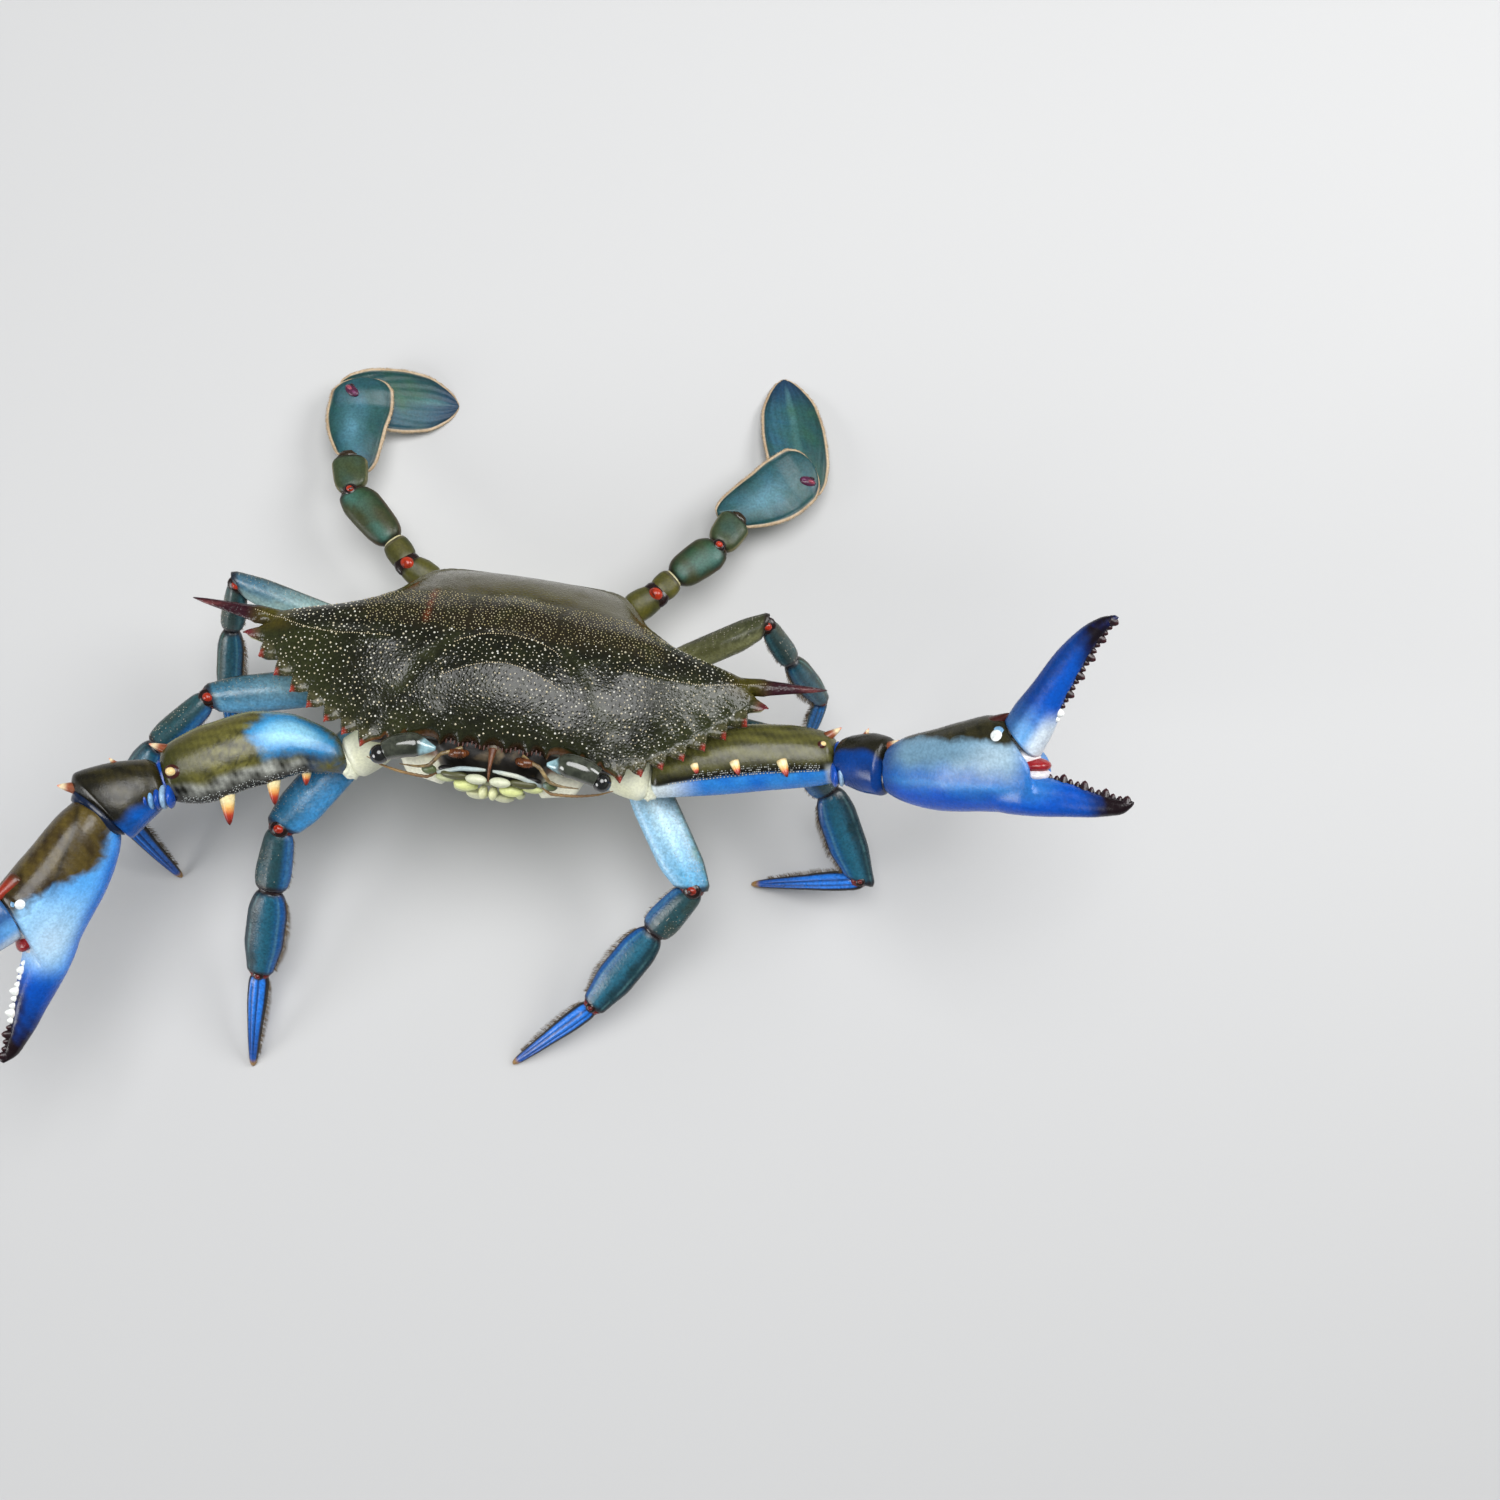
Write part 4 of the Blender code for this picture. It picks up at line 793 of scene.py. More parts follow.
def root_direction(number, side):
    u, v, w = ROOT_RUNS[number]
    return Vector(body_vector(side * u, v, w)).normalized()


def heading(turn, rise):
    turn = radians(turn)
    rise = radians(rise)
    return Vector((cos(rise) * cos(turn), cos(rise) * sin(turn), sin(rise)))


def limb_pose(number, side):
    name = side_name(side)
    if number == 0:
        return CLAW_JOINTS[name], CLAW_POSES[name]
    if number == 4:
        return PADDLE_JOINTS[name], PADDLE_POSES[name]
    leg = "%s_%d" % (name, number + 1)
    return [LEG_KNEES[leg]], LEG_POSES[leg]


def chain(number, side):
    """Joint places, directions and joint planes of a limb; a leg's last segment ends on the floor."""
    joints, pose = limb_pose(number, side)
    places = [root_place(number, side)]
    directions = []
    for joint in joints:
        directions.append((Vector(joint) - places[-1]).normalized())
        places.append(Vector(joint))
    for length, turn, rise in pose:
        start = places[-1]
        if rise is None:
            drop = start.z - TIP_HEIGHT
            flat = sqrt(max(1.0, length * length - drop * drop))
            move = heading(turn, 0) * flat - UP * drop
        else:
            move = heading(turn, rise) * length
        places.append(start + move)
        directions.append(move.normalized())
    before = root_direction(number, side)
    planes = []
    for direction in directions:
        planes.append((before + direction).normalized())
        before = direction
    planes.append(None)
    return places, directions, planes


def frame_of(direction, side):
    """Cross directions of a limb: towards its bristled edge, and up."""
    wide = unit(np.cross(direction, (0, 0, 1.0)) * side)
    thick = unit(np.cross(wide, direction) * side)
    return wide, (thick if thick[2] > 0 else -thick)


def to_plane(ring, place, plane, gap, along):
    """How far a ring's points have to move along the limb to lie this far beyond a plane through place."""
    return (gap - (ring - place) @ plane) / (along @ plane)


class Segment:
    """One limb segment as a grid of rings, t along it and the angle round it."""

    def __init__(self, start, end, planes, profile, side, rows=44, sides=40, sag=0.0, power=0.9,
                 round_ends=2.6, wide=None, shape=None, tip=False, keep=0.52, lift=None, slide=None, cup=1):
        start, end = np.array(start), np.array(end)
        self.run = unit(end - start)
        self.length = float(np.linalg.norm(end - start))
        self.wide, self.thick = frame_of(self.run, side)
        if wide is not None:
            self.wide = np.array(wide)
        t = np.linspace(0, 1, rows)
        t = t - 0.16 * np.sin(2 * pi * t) / (2 * pi)
        table = smooth_rows(profile, t)
        angle = ring_angles(sides)
        self.c = signed_power(np.cos(angle), power)
        self.s = signed_power(np.sin(angle), power)
        grid_t, grid_c = np.meshgrid(t, self.c, indexing="ij")
        grid_s = np.broadcast_to(self.s, grid_c.shape)
        near = self.rounding(t, round_ends, keep)
        far = 1.0 if tip else self.rounding(1 - t, round_ends * cup, keep if cup == 1 else 0.84)
        a = (table[:, 0] * near * far)[:, None] * grid_c
        b = (table[:, 1] * near * far)[:, None] * grid_s
        if shape is not None:
            a, b = shape(grid_t, grid_c, grid_s, a, b)
        if table.shape[1] > 2:
            a = a + table[:, 2][:, None]
        if lift is not None:
            b = b + lift(grid_t, grid_c)
        middle = start + self.run * (t * self.length)[:, None] + self.thick * (sag * np.sin(pi * t))[:, None]
        rings = middle[:, None] + self.wide * a[..., None] + self.thick * b[..., None]
        if slide is not None:
            rings = rings + slide(grid_t, grid_c)[..., None] * self.run
        for row, plane, anchor, gap, weight in ((0, planes[0], start, GAP / 2, np.maximum(0, 1 - 2 * t)),
                                                (-1, planes[1], end, -GAP / 2, np.maximum(0, 2 * t - 1))):
            if plane is not None:
                move = to_plane(rings[row], anchor, np.array(plane), gap, self.run)
                rings = rings + (weight[:, None] * move)[..., None] * self.run
        self.rings = rings
        self.t, self.cc, self.ss = grid_t, grid_c, grid_s
        self.half = np.repeat(table[:, :1], sides, 1)

    def rounding(self, t, reach, keep):
        """How full the segment is near an end that is drawn in over this reach."""
        near = np.clip(t * self.length / reach, 0, 1)
        return keep + (1 - keep) * np.sqrt(1 - (1 - near) ** 2)

    def ends(self, root, far):
        """Fading away from the root's end, and coming in again at the far one, over these distances."""
        along = self.t * self.length
        return np.maximum(1 - step(along, *root), step(along, self.length - far[0], self.length - far[1]))

    def at(self, t, angle):
        """A place on the surface and the outward direction there."""
        rows, sides = self.rings.shape[:2]
        row = int(np.clip(np.searchsorted(self.t[:, 0], t), 1, rows - 2))
        column = int(round(angle / (2 * pi) * sides - 0.5)) % sides
        along = self.rings[row + 1, column] - self.rings[row - 1, column]
        around = self.rings[row, (column + 1) % sides] - self.rings[row, column - 1]
        normal = unit(np.cross(along, around))
        place = self.rings[row, column]
        return place, normal * (-1 if normal @ (place - self.rings[row].mean(0)) < 0 else 1)


def cut_floor(rings):
    """Keeps a foot on the floor."""
    rings[..., 2] = np.maximum(rings[..., 2], FLOOR_CLEARANCE)


def add_joint(form, place, before, after, segment, color, size=0.86, length=1.9):
    """Soft skin between two segments, as wide as the first one's far end."""
    run = unit(np.array(before) + np.array(after))
    wide = unit(segment.wide - run * (segment.wide @ run))
    rows = np.linspace(-1, 1, 9)[:, None]
    radii = np.sqrt(np.clip(1 - (rows * 0.8) ** 2, 0.05, 1)) * (1 + 0.06 * np.cos(rows * 9))
    radii = radii * segment.half[-1, 0] * size
    middle = np.array(place) + run * rows * length
    add_tube(form, round_rings(middle, wide * radii, np.cross(wide, run) * radii * 0.62, 24), color)


def add_condyle(form, place, normal, radius, inner, outer):
    """A shining joint ball in a darker socket."""
    side = unit(np.cross(normal, (0.3, 0.9, 0.1)))
    axes = (side, np.cross(normal, side), normal)
    socket = place - normal * radius * 0.75
    add_ball(form, socket, radius * np.array((1.9, 1.8, 0.95)), outer, axes, 8)
    ball = place - normal * radius * 0.1
    add_ball(form, ball, radius * np.array((1, 0.85, 0.8)), inner, axes, 9, outer, 0.42)


def add_fringe(form, path, out, run, length, count, seed, colors, spread=0.35, radius=0.07, strip=0.5):
    """Bristles along a line of places, leaning along the limb."""
    rng = np.random.default_rng(seed)
    rows = len(path)
    for _ in range(count):
        f = rng.uniform(0, rows - 1.001)
        k = int(f)
        place = path[k] + (path[k + 1] - path[k]) * (f - k)
        way = unit(out + run * rng.uniform(0.35, 0.8) + rng.normal(size=3) * spread * 0.35)
        reach = length * rng.uniform(0.6, 1.05) * (0.55 + 0.45 * sin(pi * min(1, (f / rows) * 1.15)))
        bow = unit(np.cross(way, run))
        points = [place - way * 0.3, place + way * reach * 0.5 + run * reach * 0.04,
                  place + way * reach + run * reach * 0.16 + bow * rng.normal() * 0.1]
        rings = line_rings(points, [radius, radius * 0.75, radius * 0.12], 3, side=bow)
        if rings[..., 2].min() >= FLOOR_CLEARANCE:
            root = (0.03 + 0.93 * (f / rows), 0.03 + 0.93 * strip)
            add_tube(form, rings, mix(*colors, rng.uniform()), root=root)


LEG_COLORS = {
    # base, middle, distal, extensor edge, bristled edge and underside of the long segment
    "right_2": ("7fa4b4", "3a80ac", "1b5270", "1c3230", "3c88c0", "b9bfa0"),
    "left_2": ("c6d2d6", "9dbfd0", "4f90b4", "6f8460", "7fb0d0", "b9bfa0"),
    "right_3": ("8fa8aa", "6690a4", "2f5f76", "343c20", "5f98bc", "b9bfa0"),
    "left_3": ("3a4628", "1f444a", "173a46", "2b3016", "2c6076", "b9bfa0"),
    "right_4": ("a6b29a", "77908e", "365c70", "2c3119", "8aa4a2", "c2c6ac"),
    "left_4": ("a8a274", "4f5030", "35381f", "2f3018", "7f8058", "c9c6a0"),
}


def leg_paint(kind, leg, segment):
    t, c, s = segment.t, segment.cc, segment.ss
    wave = ripple(segment.rings, 3.5, 12)
    shade = mix(BLACK, MAROON, 0.4)
    rear = leg.endswith("_4")
    if kind == "dactyl":
        stripe = peak(c - 0.12, 0.10) + peak(c + 0.45, 0.08)
        first = over("2474d4", ("164c9c", step(t, 0.3, 0.9)),
                     ("0c2450", stripe * 0.9 * (1 - step(t, 0.75, 0.9))),
                     ("15110c", step(np.abs(c), 0.62, 0.82)), ("8f6a34", step(t, 0.9, 0.96)),
                     (TEAL, 0.55 if rear else 0.0))
        root = 1 - step(t * segment.length, 0.4, 1.6)
        return mix(first, shade, root * 0.8), first * 0.7, 0.3 + 0.1 * wave
    if kind == "merus":
        base, middle, distal, extensor, bristled, under = LEG_COLORS[leg]
        rim = ("25290f", (1 - step(c, -0.97, -0.84)) * 0.8)
        speckle = step(ripple(segment.rings, 0.55, 14), 0.45, 0.8) * step(c, -0.75, -0.2)
        first = over(base, (middle, step(t, 0.15, 0.5)), (distal, step(t, 0.5, 0.95)),
                     (bristled, step(c, 0.1, 0.8) * 0.8), (under, (1 - step(s, -0.75, -0.15)) * 0.8), rim,
                     (CREAM, speckle * 0.075))
        second = over(extensor, (distal, 0.3), (under, (1 - step(s, -0.75, -0.3)) * 0.8), rim)
        share = 0.5 - 0.55 * step(c, -0.9, -0.1) + 0.12 * wave
    elif kind == "carpus":
        dark, bright = ("2a2f18", "1d4650") if rear else ("16302a", "1a5288")
        line = peak(c + 0.62, 0.06) + peak(c - 0.82, 0.05)
        first = over(dark, (TEAL, 0.2), (bright, step(c, 0.35, 0.85)), (TEAL_PALE, line * 0.35))
        second = mix(dark, GREY, 0.2)
        share = 0.5 - 0.5 * step(c, -0.6, 0.2) + 0.2 * wave
    else:
        middle, dark, bright = ("1d4450", "1c2c1a", "1c5070") if rear else ("155064", "112c36", "0f4c88")
        first = over(middle, (dark, step(-c, 0.0, 0.7)), (bright, step(c, 0.3, 0.85)),
                     (TEAL_PALE, peak(np.abs(c) - 0.66, 0.05) * 0.4),
                     ("2a2114", step(np.abs(c), 0.9, 0.99) * 0.8))
        second = "12323a"
        share = 0.42 - 0.5 * step(c, -0.5, 0.3) + 0.2 * wave
    ends = segment.ends((0.5, 1.8), (2.0, 0.7))
    # Painted highlight: a lighter streak along the top middle of each segment
    painted_highlight = (1 - step(np.abs(c + 0.1), 0.05, 0.5)) * step(s, 0.5, 0.95) * (1 - ends)
    first = mix(first * (1 + 0.1 * ripple(segment.rings, 0.9, 13))[..., None], shade, ends * 0.85)
    return mix(first, first * 1.35 + 0.01, painted_highlight * 0.6), mix(second, shade, ends * 0.85), share


def leg_shape(t, c, s, a, b):
    """Section of a leg segment: a low keel along its top."""
    return a, b * (1 + 0.12 * peak(c, 0.35) * (s > 0))


def foot_shape(t, c, s, a, b):
    """Section of a leg's last segment: the keel, and a groove on each side of it."""
    a, b = leg_shape(t, c, s, a, b)
    cut = peak(c - 0.12, 0.13) + peak(c + 0.45, 0.11)
    return a, b * (1 - 0.28 * cut * np.abs(s) ** 0.5 * step(t, 0.05, 0.15) * (1 - step(t, 0.8, 0.95)))


# Widths of the legs' segments against the profiles; a foot is never wider than its profile
LEG_WIDTHS = {"right_2": 1.1, "left_2": 1.1, "right_3": 0.95, "left_3": 1.15, "right_4": 0.74, "left_4": 0.74}
# For each joint of a leg: the skin's colour, the ball's radius and colour, and after it the bristles'
# length and number
LEG_JOINTS = [(mix(DARK_RED, BLACK, 0.55), 1.35, "96260f", 1.2, 60),
              (mix(BLACK, MAROON, 0.4), 0.0, None, 2.0, 330),
              (mix(DARK_RED, BLACK, 0.4), 0.8, "5a140e", 1.7, 280)]
SPECKS = {"merus": 110, "carpus": 40}


def make_leg(number, side):
    leg = "%s_%d" % (side_name(side), number + 1)
    places, directions, planes = chain(number, side)
    skin, balls, bristles, grains = Form(), Form(), Form(), Form()
    before = None
    for k, kind in enumerate(("merus", "carpus", "propodus", "dactyl")):
        foot = kind == "dactyl"
        width = min(LEG_WIDTHS[leg], 1.0) if foot else LEG_WIDTHS[leg]
        profile = [(t, a * width, b) for t, a, b in LEG_PROFILES[kind]]
        segment = Segment(places[k], places[k + 1], (planes[k], planes[k + 1]), profile, side,
                          sag=float(foot), tip=foot, shape=foot_shape if foot else leg_shape, cup=0.42,
                          round_ends=3.2, keep=0.46)
        if foot:
            cut_floor(segment.rings)
        form = Form()
        add_tube(form, segment.rings, *leg_paint(kind, leg, segment))
        form.piece("%s_%s" % (leg, kind), MAT_LIMB, "leg_teal", ["%s_%s" % (leg, kind)])
        if before:
            color, radius, ball_color, length, count = LEG_JOINTS[k - 1]
            add_joint(skin, places[k], directions[k - 1], directions[k], before, color, 0.8)
            if radius:
                top = unit(before.thick + segment.thick)
                place = np.array(places[k]) + top * before.half[-1, 0] * 0.64
                add_condyle(balls, place, top, radius, ball_color, "1c0b08")
            path = segment.rings[:, int(np.argmax(segment.c + 0.001 * segment.s))]
            path = path[3:int(len(path) * 0.82)] if foot else path[4:-3]
            add_fringe(bristles, path, segment.wide, segment.run, length, count, 100 * number + k,
                       ("3a2d1c", "7a6444"), spread=0.5, radius=0.05, strip=(k + 0.5) / 4)
        if kind in SPECKS:
            rng = np.random.default_rng(40 + number * 3 + side)
            specks = []
            for _ in range(SPECKS[kind]):
                angle = rng.normal(0.62 if rng.uniform() < 0.5 else 0.8, 0.12) * pi
                specks.append(segment.at(rng.uniform(0.3, 0.95), angle % (2 * pi)))
            add_beads(grains, *zip(*specks), 0.14, mix(TAN, WHITE, 0.45) * 0.6, 6, 0.6)
        before = segment
    skin.piece(leg + "_joint_skin", MAT_JOINT, "leg_teal")
    balls.piece(leg + "_joint_balls", MAT_JOINT, "leg_teal")
    grains.piece(leg + "_grains", MAT_GRAIN, "leg_teal")
    bristles.piece(leg + "_bristles", MAT_HAIR, "leg_teal")


for SIDE in (-1, 1):
    for NUMBER in (1, 2, 3):
        make_leg(NUMBER, SIDE)


# Paddles
BLADES = ("propodus", "dactyl")


def blade_shape(t, c, s, a, b):
    """A blade's section: thin towards the edge, with a groove inside its rim."""
    edge = 1 - np.abs(c)
    b = b * (0.5 + 0.5 * np.sqrt(np.clip(edge * 1.6, 0, 1)))
    b = b * (1 - 0.3 * peak(edge - 0.13, 0.04))
    return a, b


def rib_shape(t, c, s, a, b):
    a, b = blade_shape(t, c, s, a, b)
    fan = c / (0.35 + 0.65 * t)
    b = b + 0.07 * np.cos(fan * 16) * np.sign(s) * step(t, 0.1, 0.3) * (np.abs(c) < 0.8)
    b = b + 0.16 * peak(c, 0.05) * np.sign(s) * (1 - step(t, 0.9, 1))
    return a, b


def paddle_paint(kind, segment):
    t, c, s = segment.t, segment.cc, segment.ss
    wave = ripple(segment.rings, 5, 21)
    edge = (1 - np.abs(c)) * segment.half
    if kind == "dactyl":
        tip = "1b3854"
        fan = c / (0.35 + 0.65 * t)
        line = peak(c, 0.035) + peak(c - 0.11, 0.03)
        first = over("2c5c74", ("20484a", step(c, -0.4, 0.6)), (tip, step(t, 0.62, 0.95) * 0.9))
        first = mix(first, first * 0.55, (0.5 + 0.5 * np.cos(fan * 22 + 1)) * 0.5)
        first = mix(first, TEAL_PALE, line * 0.5 * (1 - step(t, 0.85, 0.97)))
        second = over("2a5236", ("1c4448", 0.5 + 0.5 * wave), (tip, step(t, 0.7, 0.95) * 0.9))
        share = 0.4 + 0.25 * peak(c - 0.1, 0.5) * peak(t - 0.5, 0.25)
    elif kind == "propodus":
        slow = ripple(segment.rings, 9, 22)
        first = over("2c5666", ("20424a", 0.5 + 0.5 * slow),
                     ("5f93a8", 0.7 * peak(c - 0.1, 0.45) * peak(t - 0.35, 0.3)))
        second = mix("2a5236", "1c4448", 0.5 + 0.5 * wave)
        share = 0.42 + 0.16 * wave
    elif kind == "carpus":
        first = over("343d26", ("2f4a44", 0.5 + 0.5 * wave), ("161c12", (1 - step(edge, 0.8, 2.4)) * 0.6),
                     ("9c8c64", (1 - step(edge, 0.2, 0.6)) * 0.8))
        second = "3c4424"
        share = 0.4 + 0.2 * np.abs(c)
    elif kind == "merus":
        first = over("2a4630", ("3a6258", step(c, -0.6, 0.5)), ("161c12", (1 - step(edge, 0.8, 2.6)) * 0.7),
                     (BROWN, 1 - step(edge, 0.3, 0.9)))
        second = "34371d"
        share = 0.5 + 0.3 * wave - 0.2 * peak(c, 0.4)
    else:
        first = over("34371d", ("5f5c26", 0.35 + 0.4 * wave),
                     (mix(CREAM, TAN, 0.4) * 0.8, step(t, 0.85, 0.95) * (kind == "ischium")))
        second = "4f4a18"
        share = 0.45 + 0.15 * wave
    if kind in BLADES:
        rim = (mix("9c8468", "b9a488", 0.5 + 0.5 * wave), 1 - step(edge, 0.6, 0.8))
        first = mix(first, first * 0.4, peak(edge - 1.7, 0.8) * 0.6)
        first = over(first, ("10201f", peak(edge - 1.0, 0.2) * 0.9), rim)
        second = mix(second, *rim)
    else:
        ends = ("1c160c", segment.ends((0.4, 1.4), (1.5, 0.5)) * 0.8)
        first, second = mix(first, *ends), mix(second, *ends)
    pale = ("a8a888", (1 - step(s, -0.5, 0.2)) * 0.7)
    return mix(first, *pale), mix(second, *pale), share


# The two blades lap over each other: one runs past the joint and the other starts before it
PROPODUS_OVER = 5.2
PROPODUS_BLADE = [(0, 4.6, 1.5, -1.0), (0.12, 6.4, 1.6, -1.5), (0.35, 8.3, 1.5, -1.5), (0.6, 9.2, 1.2, -2.0),
                  (0.8, 8.8, 1.0, -2.6), (0.92, 6.8, 0.8, -3.0), (0.98, 4.0, 0.7, -3.2), (1, 1.6, 0.5, -3.2)]
DACTYL_UNDER = 4.0
DACTYL_BLADE = [(0, 4.4, 0.7), (0.1, 7.0, 0.8), (0.28, 8.9, 0.9), (0.5, 9.3, 0.9), (0.72, 8.4, 0.8),
                (0.88, 5.6, 0.7), (0.97, 2.7, 0.5), (1, 0.9, 0.35)]


def propodus_lift(t, c):
    return 1.5 * step(t, 0.62, 0.86) - 0.9 * step(-c, 0.1, 0.8) * (1 - step(t, 0.05, 0.3))


def propodus_slide(t, c):
    """The blade's inner corner runs back beside the joint before it."""
    return -5.0 * step(-c, 0.0, 0.8) * (1 - step(t, 0.0, 0.4))


def dactyl_lift(t, c):
    return -0.9 * (1 - step(t, 0.05, 0.4))


def paddle_segment(kind, start, end, planes, side):
    if kind not in BLADES:
        return Segment(start, end, planes, PADDLE_PROFILES[kind], side, 36, 40, power=0.88, keep=0.5,
                       round_ends=2.9, cup=0.45)
    run = unit(end - start)
    form = {"side": side, "sides": 90, "tip": True, "power": 0.8, "round_ends": 0.8, "keep": 0.7}
    if kind == "propodus":
        return Segment(start + run * 0.4, end + run * PROPODUS_OVER, (None, None), PROPODUS_BLADE, rows=70,
                       shape=blade_shape, lift=propodus_lift, slide=propodus_slide, **form)
    segment = Segment(start - run * DACTYL_UNDER, end + run * 1.2, (None, None), DACTYL_BLADE, rows=80,
                      shape=rib_shape, lift=dactyl_lift, **form)
    cut_floor(segment.rings)
    return segment


PADDLE_SKINS = ("6f6a24", mix(CREAM, TAN, 0.4) * 0.8, mix(BROWN, BLACK, 0.4), mix(BROWN, BLACK, 0.5))
PADDLE_BALLS = {1: (2.1, "a02c10"), 3: (1.1, "a83018")}
# The knob where the blades meet: ahead of and beside the joint, radii and colour of each part
BLADE_KNOB = ((0.9, 0.5, (2.5, 1.5, 0.8), "4a2038"), (1.5, 1.2, (1.3, 0.7, 1.1), "8a3c4c"),
              (0.0, -0.2, (1.0, 0.6, 1.0), "6a3458"), (2.4, 0.4, (0.9, 0.5, 0.8), "2a1018"))


def make_paddle(side):
    name = side_name(side) + "_5_"
    places, directions, planes = chain(4, side)
    skin, balls, bristles = Form(), Form(), Form()
    before = None
    for k, kind in enumerate(("coxa", "ischium", "merus", "carpus", "propodus", "dactyl")):
        joint = np.array(places[k])
        segment = paddle_segment(kind, joint, np.array(places[k + 1]), (planes[k], planes[k + 1]), side)
        form = Form()
        add_tube(form, segment.rings, *paddle_paint(kind, segment))
        form.piece(name + kind, MAT_PADDLE, "paddle_blue", [name + kind])
        if 1 <= k <= 4:
            add_joint(skin, joint, directions[k - 1], directions[k], before, PADDLE_SKINS[k - 1], 0.8, 1.6)
        if k in PADDLE_BALLS:
            top = unit(before.thick + segment.thick)
            add_condyle(balls, joint + top * before.half[-1, 0] * 0.62, top, *PADDLE_BALLS[k], "1c0d0a")
        if kind == "dactyl":
            top = unit(before.thick + segment.thick)
            axes = (unit(before.run + before.wide), unit(before.wide - before.run), top)
            for ahead, beside, radii, color in BLADE_KNOB:
                place = joint + top * 2.1 + before.run * ahead + before.wide * beside
                add_ball(balls, place, radii, color, axes, 9)
        if kind in BLADES:
            for column, sign in ((int(np.argmax(segment.c)), 1), (int(np.argmin(segment.c)), -1)):
                add_fringe(bristles, segment.rings[3:-1, column], segment.wide * sign, segment.run, 0.5, 300,
                           500 + k + sign, ("8f7656", "b9a27c"), 0.2, 0.045, strip=(k + 0.5 + 0.2 * sign) / 6)
        before = segment
    skin.piece(name + "joint_skin", MAT_JOINT, "paddle_blue")
    balls.piece(name + "joint_balls", MAT_JOINT, "paddle_blue")
    bristles.piece(name + "bristles", MAT_HAIR, "paddle_blue")


for SIDE in (-1, 1):
    make_paddle(SIDE)


# Claws
def claw_axes(name, direction):
    """Directions across a hand: towards its movable finger, and through it."""
    direction = Vector(direction)
    level = direction.cross(UP).normalized() * (1 if name == "right" else -1)
    raised = level.cross(direction)
    if raised.z < 0:
        raised = -raised
    height = (level * cos(CLAW_ROLL[name]) + raised * sin(CLAW_ROLL[name])).normalized()
    return np.array(height), np.array(direction.cross(height).normalized())


def claw_rings(profile, start, along, height, thick, sides):
    x = np.linspace(profile[0][0], profile[-1][0], 50)
    offset, half_height, half_thick = smooth_rows(profile, x).T[..., None]
    middle = start + along * x[:, None] + height * offset
    return round_rings(middle, height * half_height, thick * half_thick, sides, 0.85)


def voxel_skin(parts, voxel, smooth):
    """One smooth closed skin round overlapping tubes, as points and faces."""
    form = Form()
    for rings in parts:
        add_tube(form, rings, BLACK)
    mesh = bpy.data.meshes.new("work")
    mesh.from_pydata(np.concatenate(form.points).tolist(), [], form.faces)
    item = add_object("work", mesh)
    face_outward(mesh)
    remesh = item.modifiers.new("skin", "REMESH")
    remesh.mode = "VOXEL"
    remesh.voxel_size = voxel
    soften = item.modifiers.new("soften", "SMOOTH")
    soften.iterations = smooth
    soften.factor = 0.5
    result = bpy.data.meshes.new_from_object(item.evaluated_get(bpy.context.evaluated_depsgraph_get()))
    points = np.zeros(len(result.vertices) * 3)
    result.vertices.foreach_get("co", points)
    faces = [list(face.vertices) for face in result.polygons]
    bpy.data.objects.remove(item)
    for used in (mesh, result):
        bpy.data.meshes.remove(used)
    return points.reshape(-1, 3), faces


# The movable finger starts this much nearer to the wrist than in the tables, and is this many times as long
HINGE_BACK = {"right": 6.0, "left": 0.0}
FINGER_REACH = {"right": 1.08, "left": 0.95}
HAND_VOXEL = 0.45
HAND_SMOOTHING = 22
TOOTH_DARK = [(0, "1a0a12"), (0.5, "1c0a10"), (1, "3a1418")]
TOOTH_PALE = [(0, "c9b0a8"), (0.5, WHITE), (1, WHITE)]
# The soft parts under the hinge: below and ahead of it, radii and colour
HINGE_SKINS = ((6.4, 2.6, (1.9, 4.6, 3.8), "8c1a1e"), (8.6, 2.6, (1.8, 4.6, 4.3), "d0ccd0"),
               (4.6, 0.6, (2.2, 3.8, 4.0), "d8d4d4"))


def palm_paint(name, x, y, points):
    """Blue paint of the hand: x along it and y towards the movable finger; and its waviness."""
    wave = ripple(points, 5, 31)
    fine = ripple(points, 1.6, 32)
    streak = ripple(np.stack([x * 0.35, y * 2.2, np.zeros_like(x)], -1), 2.2, 33)
    if name == "right":
        x = x + 5 * step(x, 8, 30) * (1 - step(x, 46, 60))
        blue = over("0666c8", ("4f98d8", step(y + wave, -8, -1)),
                    ("8cbce0", step(x + wave, 18, 34) * step(y, -7, -1) * (1 - step(x, 44, 50))),
                    # A pale spot on the palm: painted highlight
                    ("b4cbdc", peak(x - 38, 6) * peak(y - 1, 5) * 0.7),
                    ("0a6ccc", step(x, 40, 50) * (1 - 0.3 * step(y, -5, 0))))
    else:
        blue = over("0348aa", ("2262a8", step(y + wave, -6.0, -1.5)),
                    ("64869c", step(y + wave * 1.5, -1.0, 5) * (1 - step(x, 35, 41))),
                    ("2a74b8", peak(y + 1.6 + wave * 0.4, 0.9) * (1 - step(x, 34, 40)) * 0.8),
                    # A pale spot on the palm near the hinge: painted highlight
                    ("9fb6c4", peak(x - 33, 6) * peak(y - 6, 3.5) * 0.8),
                    ("08387c", (1 - step(x, 1, 8)) * 0.8))
    blue = over(mix(blue, blue * 1.18, 0.5 + 0.5 * streak), ("0448a6", step(x, 42, 50)),
                ("063274", step(x, 50, 58) * 0.7),
                ("14070c", step(x + fine + 1.5 * np.maximum(0, y + 3.2), 53, 59.5)))
    return blue, wave, fine


